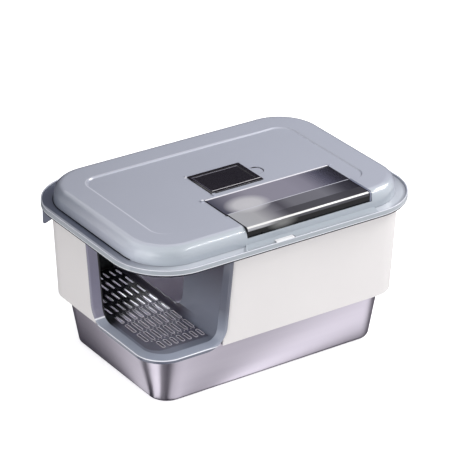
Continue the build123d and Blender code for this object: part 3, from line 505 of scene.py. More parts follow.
@dataclass(frozen=True)
class RimPlastic(Plastic):
    """The lid's plastic on the rim, with painted shade and painted light in its channel,
    painted shade on the lip's face and a painted highlight line on it.
    """

    lip: Point = (0.3, 0.21265, 0.107)
    low_z: Span = (0.2895, 0.2906)
    # Painted shade in the channel at the right.
    right_x: Span = (0.20, 0.245)
    right: Colour = srgb(160, 163, 172)
    # Painted light in the channel at the front.
    front_y: Span = (-0.165, -0.12)
    front_in: Span = (-0.010, -0.007)
    front: Colour = srgb(190, 194, 202)
    # Painted shade on the lip's outer face.
    face_in: Span = (-0.0022, -0.001)
    face: Colour = srgb(160, 166, 173)
    # A painted highlight line along the foot of the lip's face.
    brim_z: Band = (0.2817, 0.2829, 0.0002)
    brim: Colour = srgb(232, 234, 239)
    # Painted shade in the channel along the left side.
    left_x: Band = (-0.2905, -0.16, 0.002)
    left_y: Span = (-0.19, -0.05)
    left: Colour = srgb(92, 98, 118)

    def paint(self, board: Board, tone: Socket) -> Socket:
        """Paints shade in the channel at the right and the left, light in it at the front,
        shade on the face of the lip and a highlight on its brim.

        Args:
            board: Board of the material.
            tone: The plain colour.

        Returns:
            The painted colour.
        """
        x, y, z = board.axes()
        inside = board.outline(*self.lip)
        low = board.fall(z, self.low_z)
        face = board.rise(inside, self.face_in)
        tone = board.lay(tone, self.right, low, board.rise(x, self.right_x))
        tone = board.lay(
            tone, self.front, low, board.fall(y, self.front_y),
            board.fall(inside, self.front_in))
        tone = board.lay(tone, self.face, low, face)
        tone = board.lay(tone, self.brim, face, board.band(z, self.brim_z))
        side = board.band(x, self.left_x)
        return board.lay(tone, self.left, side, board.rise(y, self.left_y), low)


@dataclass(frozen=True)
class BezelPlastic(Plastic):
    """The entry's slate, with painted shade on its legs and hem, and painted highlights across
    its left leg and above its hem.
    """

    # Painted shade on the right leg.
    right_x: Span = (-0.15, -0.125)
    right_z: Span = (0.11, 0.17)
    right: Colour = srgb(94, 97, 110)
    # Painted lilac shade on the left leg above the crease.
    left_x: Span = (-0.235, -0.225)
    lean: Point = (0.0, 0.67, 1.0)
    upper_from: Span = (0.114, 0.117)
    upper: Colour = srgb(124, 121, 140)
    # Painted shade on the hem.
    hem_z: Span = (0.1036, 0.1044)
    hem: Colour = srgb(96, 100, 116)
    # Painted highlights: a line at the top of the hem, and a crease across the left leg.
    line_z: Band = (0.1043, 0.1053, 0.0004)
    crease_at: Band = (0.1148, 0.1162, 0.002)
    crease: Colour = srgb(240, 240, 246)

    def paint(self, board: Board, tone: Socket) -> Socket:
        """Paints shade on both legs and on the hem under them, a highlight line at the top of
        the hem and the highlight of the crease.

        Args:
            board: Board of the material.
            tone: The plain colour.

        Returns:
            The painted colour.
        """
        x, _, z = board.axes()
        left, height = board.fall(x, self.left_x), board.slope(self.lean)
        tone = board.lay(
            tone, self.right, board.rise(x, self.right_x), board.rise(z, self.right_z))
        tone = board.lay(tone, self.upper, left, board.rise(height, self.upper_from))
        tone = board.lay(tone, self.hem, board.fall(z, self.hem_z))
        tone = board.lay(tone, self.crease, board.band(z, self.line_z))
        return board.lay(tone, self.crease, left, board.band(height, self.crease_at))


@dataclass(frozen=True)
class TunnelPlastic(Plastic):
    """The corridor's slate, with painted shade at its top right, at its far end and below the
    sill of the way to the litter.
    """

    # Painted shade at the top of the right wall.
    top_x: Span = (-0.15, -0.14)
    top_z: Span = (0.15, 0.25)
    # Painted shade, nearly black, at the far end.
    far_from: Span = (0.098, 0.128)
    far_x: Span = (-0.137, -0.135)
    far: Colour = srgb(14, 13, 17)
    # Painted shade on the wall below the sill.
    sill_x: Band = (-0.1375, 0.0, 0.001)
    sill_y: Span = (-0.1, -0.05)
    sill_z: Span = (0.1262, 0.1268)
    deep_shade: Colour = srgb(70, 66, 78)

    def paint(self, board: Board, tone: Socket) -> Socket:
        """Paints shade on the top at the right, on the far end, and on the wall below the sill.

        Args:
            board: Board of the material.
            tone: The plain colour.

        Returns:
            The painted colour.
        """
        x, y, z = board.axes()
        tone = board.lay(tone, self.deep_shade, board.rise(z, self.top_z), board.rise(x, self.top_x))
        far = board.rise(board.slope(INWARD), self.far_from)
        tone = board.lay(tone, self.far, far, board.fall(x, self.far_x))
        return board.lay(
            tone, self.deep_shade, board.fall(z, self.sill_z), board.band(x, self.sill_x),
            board.rise(y, self.sill_y))


@dataclass(frozen=True)
class FloorPlastic(Plastic):
    """The slotted floor's slate, with painted shade nearly black at its far end."""

    # Painted shade at the far end.
    far_from: Span = (0.098, 0.128)
    far: Colour = srgb(12, 11, 15)

    def paint(self, board: Board, tone: Socket) -> Socket:
        """Paints shade over the far end."""
        return board.lay(tone, self.far, board.rise(board.slope(INWARD), self.far_from))


@dataclass(frozen=True)
class SlotPolish(BrushedSteel):
    """The polish of the slots' rims, under painted shade at the floor's far end."""

    # Painted shade at the far end.
    far_from: Span = (0.108, 0.136)
    far: Colour = srgb(34, 32, 38)

    def paint(self, board: Board, tone: Socket) -> Socket:
        """Paints shade over the far end."""
        return board.lay(tone, self.far, board.rise(board.slope(INWARD), self.far_from))


@dataclass(frozen=True)
class CatchPlastic(Plastic):
    """The catch's white, with painted shade at its right end."""

    # Painted shade at the right end.
    end_x: Span = (0.0008, 0.0014)
    end: Colour = srgb(58, 58, 64)

    def paint(self, board: Board, tone: Socket) -> Socket:
        """Paints shade over the right end."""
        return board.lay(tone, self.end, board.rise(board.axes()[0], self.end_x))


@dataclass(frozen=True)
class CoverPlastic(Plastic):
    """Black gloss with painted highlights along the edges of the cover's sunk face."""

    # Painted highlights along the near, back and left edges of the sunk face.
    near_x: Band = (-0.0500, 0.0535, 0.001)
    near_y: Band = (-0.0334, -0.0322, 0.0003)
    near: Colour = srgb(232, 228, 230)
    back_x: Band = (-0.0500, 0.0440, 0.004)
    back_y: Band = (0.0302, 0.0312, 0.0004)
    back: Colour = srgb(124, 121, 134)
    left_x: Band = (-0.0506, -0.0498, 0.0004)
    left_y: Band = (-0.0330, 0.0305, 0.001)
    left: Colour = srgb(92, 90, 102)

    def paint(self, board: Board, tone: Socket) -> Socket:
        """Paints highlights along the near, the back and the left edge of the sunk face.

        Args:
            board: Board of the material.
            tone: The plain colour.

        Returns:
            The painted colour.
        """
        x, y, _ = board.axes()
        for colour, along, across in (
                (self.near, self.near_x, self.near_y), (self.back, self.back_x, self.back_y),
                (self.left, self.left_x, self.left_y)):
            tone = board.lay(tone, colour, board.band(y, across), board.band(x, along))
        return tone


@dataclass(frozen=True)
class SmokedSheet:
    """Smoked plastic in bands: clear rear, bar, bends and a black face, with painted light,
    shade and reflections.
    """

    name: str
    roughness: float = 0.12
    sway: float = 0.1
    grain_scale: float = 500.0
    coat: float = 0.4
    coat_roughness: float = 0.03
    coat_ior: float = 1.4
    specular: float = 0.1
    run_x: Span = (-0.081, 0.184)
    # Painted light and shade across the rear and the bar, light at the left and dark at the
    # right end.
    rear: Stops = (
        (0.0, srgb(70, 70, 84)), (0.10, srgb(112, 110, 122)), (0.30, srgb(140, 137, 149)),
        (0.72, srgb(138, 135, 149)), (0.86, srgb(92, 91, 108)), (1.0, srgb(34, 33, 40)))
    bar: Stops = (
        (0.0, srgb(168, 168, 172)), (0.16, srgb(166, 165, 168)), (0.30, srgb(112, 110, 118)),
        (0.37, srgb(80, 78, 86)), (0.46, srgb(108, 107, 114)), (0.72, srgb(112, 111, 119)),
        (0.88, srgb(60, 59, 67)), (1.0, srgb(34, 33, 40)))
    clear: Stops = (
        (0.0, grey(0.95)), (0.6, grey(0.93)), (0.8, grey(0.7)), (0.92, grey(0.45)),
        (1.0, grey(0.6)))
    bar_y: Span = (-0.1262, -0.1240)
    bar_solid: Colour = grey(0.96)
    # A painted highlight on the rear, left of the middle.
    highlight_spot_at: Point = (-0.026, -0.108, 0.3195)
    highlight_spot_reach: Point = (0.046, 0.036, 0.03)
    highlight_spot_fade: Stops = ((0.0, grey(0.0)), (0.45, grey(0.9)), (1.0, WHITE))
    cloud_and_highlight: Colour = srgb(196, 194, 198)
    shade_x: Span = (-0.01, 0.03)
    shade_y: Band = (-0.19, -0.1612, 0.001)
    shade_most: float = 0.8
    shade: Colour = srgb(64, 63, 68)
    # A painted highlight line along the bar's rear edge.
    crease_y: Band = (-0.1262, -0.1242, 0.0008)
    crease: Colour = srgb(200, 200, 210)
    face_z: Span = (0.3135, 0.3150)
    face: Colour = srgb(10, 10, 12)
    gleam_at: Point = (-0.0068, -0.1883, 0.3125)
    gleam_reach: Point = (0.034, 0.02, 0.012)
    gleam_fade: Span = (0.0, 0.8)
    gleam: Colour = srgb(118, 118, 117)
    # A painted highlight along the front bend.
    bend_y: Span = (-0.1842, -0.1836)
    bend_z: Band = (0.3189, 0.3206, 0.0004)
    bend: Colour = srgb(236, 234, 232)
    # A painted highlight line along the back edge.
    back_y: Band = (-0.0572, -0.05, 0.0008)
    back: Colour = srgb(238, 236, 242)
    # Painted shade in the gaps at the flap's two ends.
    left_x: Span = (-0.0798, -0.0790)
    right_x: Span = (0.1776, 0.1780)
    cheek: Colour = srgb(16, 15, 18)
    # A painted reflection along the right end of the front.
    strip_x: Band = (0.1796, 0.1826, 0.0003)
    strip: Colour = srgb(120, 124, 142)

    def make(self) -> Material:
        """Builds the material.

        Returns:
            The material.
        """
        board = Board(self.name)
        x, y, z = board.axes()
        along = board.rise(x, self.run_x)
        front = board.fall(y, self.bar_y)
        face = board.fall(z, self.face_z)
        back = board.band(y, self.back_y)
        bar = board.ramp(along, self.bar)
        body = board.lay(board.ramp(along, self.rear), bar, front)
        cloud_and_highlight = board.ramp(board.spot(self.highlight_spot_at, self.highlight_spot_reach), self.highlight_spot_fade)
        body = board.lay(body, self.cloud_and_highlight, cloud_and_highlight)
        shade = board.spread(x, 0.0, self.shade_most, self.shade_x)
        body = board.lay(body, self.shade, board.band(y, self.shade_y), shade)
        body = board.lay(body, self.crease, board.band(y, self.crease_y))
        body = board.lay(body, self.face, face)
        gleam = board.rise(board.spot(self.gleam_at, self.gleam_reach), self.gleam_fade)
        body = board.lay(body, self.gleam, gleam)
        bend = board.band(z, self.bend_z)
        body = board.lay(body, self.bend, board.fall(y, self.bend_y), bend)
        body = board.lay(body, self.back, back)
        body = board.lay(body, self.cheek, board.fall(x, self.left_x))
        body = board.lay(body, self.cheek, board.rise(x, self.right_x), front)
        body = board.lay(body, self.strip, board.band(x, self.strip_x), front)
        solid = board.lay(board.ramp(along, self.clear), self.bar_solid, front)
        solid = board.lay(board.lay(solid, WHITE, face), WHITE, back)
        board.set(
            Coat_Weight=self.coat, Coat_Roughness=self.coat_roughness, Coat_IOR=self.coat_ior,
            Specular_IOR_Level=self.specular, Base_Color=body, Alpha=solid)
        board.grain(self.roughness, self.sway, self.grain_scale)
        return board.material


def finishes() -> dict[Slot, Material]:
    """Makes every finish of the object once.

    Returns:
        The materials by their slot.
    """
    kinds = {
        Slot.PAN: BrushedSteel(
            "Pan satin steel", srgb(196, 191, 201), srgb(188, 183, 194), 0.36, 0.85),
        Slot.WALL: Plastic(
            "Wall white satin", srgb(226, 222, 221), 0.5, cloud_and_highlight=0.012, specular=0.3),
        Slot.ENTRY: BezelPlastic("Entry slate", srgb(148, 154, 169), 0.36, 0.6, cloud_and_highlight=0.03),
        Slot.FLOOR: FloorPlastic(
            "Slotted floor slate", srgb(92, 90, 104), 0.36, 0.2, cloud_and_highlight=0.03),
        Slot.LID: LidPlastic(
            "Lid blue grey", srgb(176, 179, 192), 0.33, 1.0, 0.06, 0.012, grain=0.00001),
        Slot.SMOKED: SmokedSheet("Smoked flap"),
        Slot.BLACK: CoverPlastic(
            "Cover black gloss", srgb(26, 24, 29), 0.2, 1.0, 0.05, 0.05, grain=0.000005),
        Slot.CATCH: CatchPlastic("Catch white", srgb(232, 232, 234), 0.3, 0.3, cloud_and_highlight=0.01),
        Slot.BIN: Plastic("Bin grey", srgb(66, 64, 72), 0.45),
        Slot.PIN: BrushedSteel("Pin steel", srgb(200, 200, 205), srgb(170, 170, 176), 0.2),
        Slot.SCOOP: BrushedSteel(
            "Scoop steel", srgb(235, 234, 240), srgb(220, 219, 226), 0.4, metal=0.6),
        Slot.GRIP: Plastic("Scoop grip", srgb(40, 39, 44), 0.45),
        Slot.BLOCK: Plastic(
            "Deodoriser block", srgb(34, 34, 34), 0.9, cloud_and_highlight=0.2, grain=0.0003,
            grain_scale=300.0, specular=0.2),
    }
    return {slot: kind.make() for slot, kind in kinds.items()}


class Bench:
    """Small steps of modelling by hand with Blender's operators."""

    @staticmethod
    def start(primitive: Callable, **sizes: float | str | Point) -> Object:
        """Adds a primitive with nothing else selected.

        Args:
            primitive: The operator that adds it.
            sizes: Its size and its place.

        Returns:
            The new object.
        """
        bpy.ops.object.select_all(action="DESELECT")
        primitive(**sizes)
        return bpy.context.active_object

    @staticmethod
    def take(obj: Object) -> None:
        """Selects one object alone and makes it the active one.

        Args:
            obj: The object.
        """
        bpy.ops.object.select_all(action="DESELECT")
        obj.select_set(True)
        bpy.context.view_layer.objects.active = obj

    @staticmethod
    def pick(obj: Object, test: Callable[[Vector], bool]) -> None:
        """Enters edit mode with the corners picked that pass a test.

        Args:
            obj: The active object.
            test: Says of a place whether its corner is picked.
        """
        bpy.ops.object.mode_set(mode="EDIT")
        bpy.ops.mesh.select_mode(type="VERT")
        bpy.ops.mesh.select_all(action="DESELECT")
        mesh = bmesh.from_edit_mesh(obj.data)
        for vert in mesh.verts:
            vert.select = test(vert.co)
        bmesh.update_edit_mesh(obj.data)

    @staticmethod
    def pick_all() -> None:
        """Enters edit mode with every face picked."""
        bpy.ops.object.mode_set(mode="EDIT")
        bpy.ops.mesh.select_mode(type="FACE")
        bpy.ops.mesh.select_all(action="SELECT")

    @staticmethod
    def done() -> None:
        """Leaves edit mode."""
        bpy.ops.object.mode_set(mode="OBJECT")

    @staticmethod
    def hide(obj: Object, *rays: str) -> None:
        """Hides an object from kinds of rays."""
        for ray in rays:
            setattr(obj, f"visible_{ray}", False)

    @staticmethod
    def pull(obj: Object, axis: int, shift: float) -> None:
        """Pulls the two halves of an outline apart along one axis.

        Args:
            obj: The outline, centred at the origin and active.
            axis: 0 for X, 1 for Y.
            shift: How far each half goes, in millimetres.
        """
        for side in (1.0, -1.0):
            Bench.pick(obj, lambda place: place[axis] * side > 0.0)
            move = [0.0, 0.0, 0.0]
            move[axis] = shift * side * MM
            bpy.ops.transform.translate(value=move)
            Bench.done()

    @staticmethod
    def settle(obj: Object) -> None:
        """Writes the object's place, turn and size into its mesh."""
        Bench.take(obj)
        bpy.ops.object.transform_apply(location=True, rotation=True, scale=True)

    @staticmethod
    def join(pieces: list[Object]) -> Object:
        """Joins pieces to one.

        Args:
            pieces: The pieces.

        Returns:
            The joined piece.
        """
        Bench.take(pieces[0])
        for piece in pieces:
            piece.select_set(True)
        bpy.ops.object.join()
        return bpy.context.active_object

    @staticmethod
    def copies(obj: Object, places: list[Vector]) -> Object:
        """Copies a piece to places, each copy with its own mesh, and joins them to one piece.

        Args:
            obj: The piece, modelled at the origin.
            places: Where the copies go.

        Returns:
            The joined piece.
        """
        group = []
        for place in places:
            twin = obj.copy()
            twin.data = obj.data.copy()
            twin.location = place
            bpy.context.collection.objects.link(twin)
            group.append(twin)
        joined = Bench.join(group)
        bpy.data.objects.remove(obj)
        Bench.settle(joined)
        return joined

    @staticmethod
    def loop(half_x: float, half_y: float, corner: float, height: float,
             points: int = 96) -> Object:
        """Draws the outline of a rectangle with round corners.

        Args:
            half_x: Half its length in millimetres.
            half_y: Half its width.
            corner: Radius of its corners.
            height: Its height.
            points: Number of its points.

        Returns:
            The outline as a loop of edges.
        """
        loop = Bench.start(
            bpy.ops.mesh.primitive_circle_add, vertices=points, radius=corner * MM,
            location=(0.0, 0.0, height * MM), rotation=(0.0, 0.0, math.pi / points))
        Bench.settle(loop)
        Bench.pull(loop, 0, half_x - corner)
        Bench.pull(loop, 1, half_y - corner)
        return loop

    @staticmethod
    def tube(loop: Object, radius: float) -> Object:
        """Gives a loop of edges a round thickness.

        Args:
            loop: The loop.
            radius: Radius in millimetres.

        Returns:
            The tube.
        """
        Bench.take(loop)
        bpy.ops.object.convert(target="CURVE")
        loop.data.bevel_depth = radius * MM
        loop.data.bevel_resolution = 1
        loop.data.use_fill_caps = True
        bpy.ops.object.convert(target="MESH")
        bpy.ops.object.shade_smooth()
        return bpy.context.active_object

    @staticmethod
    def soften(obj: Object, width: float) -> None:
        """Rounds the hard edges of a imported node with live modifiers.

        Args:
            obj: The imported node.
            width: Width of the rounding in millimetres.
        """
        weld = obj.modifiers.new("Weld", "WELD")
        weld.merge_threshold = 0.01 * MM
        flat = obj.modifiers.new("Flat faces", "DECIMATE")
        flat.decimate_type = "DISSOLVE"
        flat.angle_limit = math.radians(0.5)
        bevel = obj.modifiers.new("Round edges", "BEVEL")
        bevel.width = width * MM
        bevel.segments = 2
        bevel.limit_method = "ANGLE"
        bevel.angle_limit = math.radians(35.0)
        bevel.harden_normals = True


@dataclass
class Part:
    """A sub-assembly of the object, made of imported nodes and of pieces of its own."""

    frame: dict
    looks: dict[Slot, Material]

    def dress(self, node: str, slot: Slot, look: Material | None = None,
              soft: float = 0.0) -> None:
        """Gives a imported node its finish.

        Args:
            node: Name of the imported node.
            slot: The record's material slot.
            look: A finish of its own, or None for the slot's.
            soft: Width of the rounding of its edges in millimetres, 0 for none.
        """
        obj = self.frame["nodes"][node]
        obj.data.materials.clear()
        obj.data.materials.append(look or self.looks[slot])
        if soft:
            Bench.soften(obj, soft)
        LOG.info("%s wears %s", node, slot.value)

    def adopt(self, obj: Object, name: str, body: str, slot: Slot,
              look: Material) -> None:
        """Names a finished piece, gives it a finish and lets it ride on a body.

        Args:
            obj: The piece.
            name: Its name.
            body: The body that carries it.
            slot: The record's material slot; not used.
            look: Its finish.
        """
        obj.name = name
        obj.data.name = name
        obj.data.materials.clear()
        obj.data.materials.append(look)
        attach(obj, body)
        LOG.info("%s rides on %s", name, body)


class Base(Part):
    """The steel pan and the white wall on it."""

    def build(self) -> None:
        """Dresses the pan and the wall."""
        self.dress("litter_pan", Slot.PAN)
        self.dress("wall", Slot.WALL)


@dataclass
class Entry(Part):
    """The bezel, the corridor and its slotted floor."""

    slot_long: float = 30.0
    slot_short: float = 22.0
    slot_wide: float = 5.2
    rim_wide: float = 1.1
    rim_high: float = 0.9
    rim_soft: float = 0.4
    rim_points: int = 12
    dot_radius: float = 1.0
    dot_flat: float = 0.7
    first_x: float = -140.5
    pitch_x: float = 13.5
    columns: int = 8
    first_y: float = -135.0
    pitch_y: float = 39.2
    rows: int = 8
    near_shift: float = 2.0
    far_shift: float = 3.0
    top_z: float = 112.0

    def build(self) -> None:
        """Dresses the entry and gives its floor rimmed slots and grip dots."""
        self.dress("entry_bezel", Slot.ENTRY)
        # The corridor wears a darker copy of the entry's slate: painted shade.
        self.dress("entry_tunnel", Slot.ENTRY, TunnelPlastic(
            "Tunnel slate in painted shade", srgb(120, 124, 138), 0.4, 0.3, cloud_and_highlight=0.03).make())
        self.dress("filter_plate", Slot.FLOOR)
        shine = SlotPolish(
            "Slot rim polish", srgb(250, 244, 250), srgb(240, 234, 242), metal=0.35).make()
        self.adopt(self.slot_rims(), "slot_rims", "plate", Slot.FLOOR, shine)
        self.adopt(self.grip_dots(), "grip_dots", "plate", Slot.FLOOR, shine)

    def centres(self) -> tuple[list[Vector], list[Vector]]:
        """Centres of the long and of the short slots on the floor's top.

        Returns:
            Two lists of places in metres.
        """
        xs = [self.first_x - self.pitch_x * i for i in range(self.columns)]
        ys = [self.first_y + self.pitch_y * i for i in range(self.rows)]
        ends = (ys[0] + self.near_shift, ys[-1] - self.far_shift)
        long = [Vector((x, y, self.top_z)) * MM for y in ys[1:-1] for x in xs]
        short = [Vector((x, y, self.top_z)) * MM for y in ends for x in xs[:-1]]
        return long, short

    def rim(self, length: float) -> Object:
        """Models the raised edge of one slot at the origin.

        Args:
            length: Length of the slot in millimetres.

        Returns:
            The ring.
        """
        outer = (self.slot_wide / 2 + self.rim_wide) * MM
        ring = Bench.start(
            bpy.ops.mesh.primitive_circle_add, vertices=self.rim_points, radius=outer,
            fill_type="NGON", rotation=(0.0, 0.0, math.pi / self.rim_points))
        Bench.settle(ring)
        Bench.pull(ring, 1, (length - self.slot_wide) / 2)
        Bench.pick_all()
        bpy.ops.mesh.inset(thickness=self.rim_wide * MM, depth=0.0)
        bpy.ops.mesh.delete(type="FACE")
        Bench.done()
        wall = ring.modifiers.new("Height", "SOLIDIFY")
        wall.thickness = self.rim_high * MM
        wall.offset = 1.0
        soft = ring.modifiers.new("Soft edge", "BEVEL")
        soft.width = self.rim_soft * MM
        soft.segments = 2
        for modifier in (wall, soft):
            bpy.ops.object.modifier_apply(modifier=modifier.name)
        return ring

    def slot_rims(self) -> Object:
        """Copies the raised edge round every slot.

        Returns:
            All the rings as one piece.
        """
        long, short = self.centres()
        first = Bench.copies(self.rim(self.slot_long), long)
        second = Bench.copies(self.rim(self.slot_short), short)
        return Bench.join([first, second])

    def grip_dots(self) -> Object:
        """Sets a small dome between the ends of the slots.

        Returns:
            All the domes as one piece.
        """
        dome = Bench.start(
            bpy.ops.mesh.primitive_uv_sphere_add, segments=10, ring_count=6,
            radius=self.dot_radius * MM)
        Bench.pick_all()
        bpy.ops.mesh.bisect(
            plane_co=ORIGIN, plane_no=(0.0, 0.0, 1.0), use_fill=True, clear_inner=True)
        bpy.ops.mesh.select_all(action="SELECT")
        bpy.ops.transform.resize(value=(1.0, 1.0, self.dot_flat), center_override=ORIGIN)
        Bench.done()
        bpy.ops.object.shade_smooth()
        xs = [self.first_x - self.pitch_x * i / 2 for i in range(2 * self.columns - 2)]
        ys = [self.first_y + self.pitch_y * (i + 0.5) for i in range(self.rows - 1)]
        ys[0] += self.near_shift / 2
        ys[-1] -= self.far_shift / 2
        return Bench.copies(dome, [Vector((x, y, self.top_z)) * MM for y in ys for x in xs])


@dataclass
class Rim(Part):
    """The ring on the wall with its hinge pins, beads of painted highlight and painted shadow
    along its lip, and a strip of painted shadow at the dome's foot.
    """

    half_x: float = 300.0
    half_y: float = 212.65
    corner: float = 107.0
    top_z: float = 291.0
    low_z: float = 281.8
    # The dark strip of painted shadow along the dome's foot on the left side.
    shadow_strip_half_x: float = 279.2
    shadow_strip_half_y: float = 191.2
    shadow_strip_corner: float = 86.7
    shadow_strip_z: float = 289.0
    shadow_strip_radius: float = 0.8
    shadow_strip_front: float = -128.0
    shadow_strip_right: float = -100.0

    def build(self) -> None:
        """Dresses the rim and adds the beads of painted highlight and painted shadow along its
        lip, and the strip of painted shadow at the dome's foot.
        """
        self.dress("rim_ring", Slot.LID, RimPlastic(
            "Rim blue grey", srgb(180, 183, 195), 0.36, 0.5, 0.15, 0.012, grain=0.00001).make())
        self.dress("hinge_pins", Slot.PIN)
        # Bright beads along the top and the foot of the lip carry painted highlight lines.
        bright = Plastic("Painted highlight bright", srgb(236, 237, 242), 0.3, 0.5).make()
        # Dark material of the painted shadow under the lip and along the dome's foot.
        dark = Plastic("Painted shadow dark", srgb(30, 32, 42), 0.6, specular=0.2).make()
        for name, inside, height, radius, look in (
                ("lip_top_highlight_bead", 0.55, self.top_z - 0.2, 0.45, bright),
                ("lip_low_highlight_bead", 0.55, self.low_z + 0.6, 0.4, bright),
                ("lip_under_shadow_bead", 1.6, self.low_z - 1.4, 1.55, dark)):
            self.adopt(self.bead(inside, height, radius), name, "upper", Slot.LID, look)
        self.adopt(self.shadow_strip(), "gutter_shadow_strip", "upper", Slot.LID, dark)

    def bead(self, inside: float, height: float, radius: float) -> Object:
        """Runs a thin round bead along the outline of the lip.

        Args:
            inside: How far its middle lies inside the lip's outline.
            height: Height of its middle.
            radius: Its radius.

        Returns:
            The bead.
        """
        loop = Bench.loop(
            self.half_x - inside, self.half_y - inside, self.corner - inside, height)
        return Bench.tube(loop, radius)

    def shadow_strip(self) -> Object:
        """Runs a dark strip of painted shadow along the foot of the dome on its left side.

        Returns:
            The strip.
        """
        loop = Bench.loop(self.shadow_strip_half_x, self.shadow_strip_half_y, self.shadow_strip_corner, self.shadow_strip_z)
        front, right = self.shadow_strip_front * MM, self.shadow_strip_right * MM
        Bench.pick(loop, lambda place: place.y < front or place.x > right)
        bpy.ops.mesh.delete(type="VERT")
        Bench.done()
        return Bench.tube(loop, self.shadow_strip_radius)


@dataclass
class Lid(Part):
    """The domed lid with its tongue and its catch."""

    soft: float = 0.4

    def build(self) -> None:
        """Dresses the lid, the tongue and the catch."""
        self.dress("lid", Slot.LID)
        self.dress("lid_tongue", Slot.LID, soft=self.soft)
        self.dress("front_catch", Slot.CATCH, soft=self.soft)


@dataclass
class ScoopStore(Part):
    """The bin, its flap and the scoop in it."""

    flap_soft: float = 0.5
    grip_soft: float = 1.0

    def build(self) -> None:
        """Dresses the bin, the flap and the scoop."""
        self.dress("scoop_bin", Slot.BIN)
        self.dress("bin_flap", Slot.SMOKED, soft=self.flap_soft)
        self.dress("flap_pins", Slot.PIN)
        self.dress("scoop_head", Slot.SCOOP)
        self.dress("scoop_handle", Slot.GRIP, soft=self.grip_soft)


@dataclass
class Deodoriser(Part):
    """The pocket in the lid with its black cover."""

    cover_soft: float = 0.6

    def build(self) -> None:
        """Dresses the pocket's pieces."""
        self.dress("deodoriser_box", Slot.LID)
        self.dress("deodoriser_block", Slot.BLOCK)
        self.dress("pocket_cover", Slot.BLACK, soft=self.cover_soft)
        self.dress("cover_pins", Slot.PIN)


@dataclass(frozen=True)
class Lamp:
    """A soft panel, or a small cool bulb inside the object where it has no size."""

    name: str
    place: Point
    power: float
    size: Span = (0.0, 0.0)
    target: Point = (0.0, 0.0, 0.2)
    diffuse: bool = True
    glossy: bool = True
    bulb_colour: Colour = (0.93, 0.97, 1.0)
    bulb_radius: float = 0.03

    def hang(self) -> None:
        """Adds the lamp to the scene."""
        panel = any(self.size)
        data = bpy.data.lights.new(self.name, "AREA" if panel else "POINT")
        data.energy = self.power
        lamp = bpy.data.objects.new(self.name, data)
        bpy.context.collection.objects.link(lamp)
        lamp.location = self.place
        lamp.visible_diffuse = self.diffuse
        lamp.visible_glossy = self.glossy
        if panel:
            data.shape = "RECTANGLE"
            data.size, data.size_y = self.size
            aim = (Vector(self.target) - Vector(self.place)).to_track_quat("-Z", "Y")
            lamp.matrix_world = Matrix.Translation(self.place) @ aim.to_matrix().to_4x4()
        else:
            data.color = self.bulb_colour
            data.shadow_soft_size = self.bulb_radius
            lamp.visible_camera = False


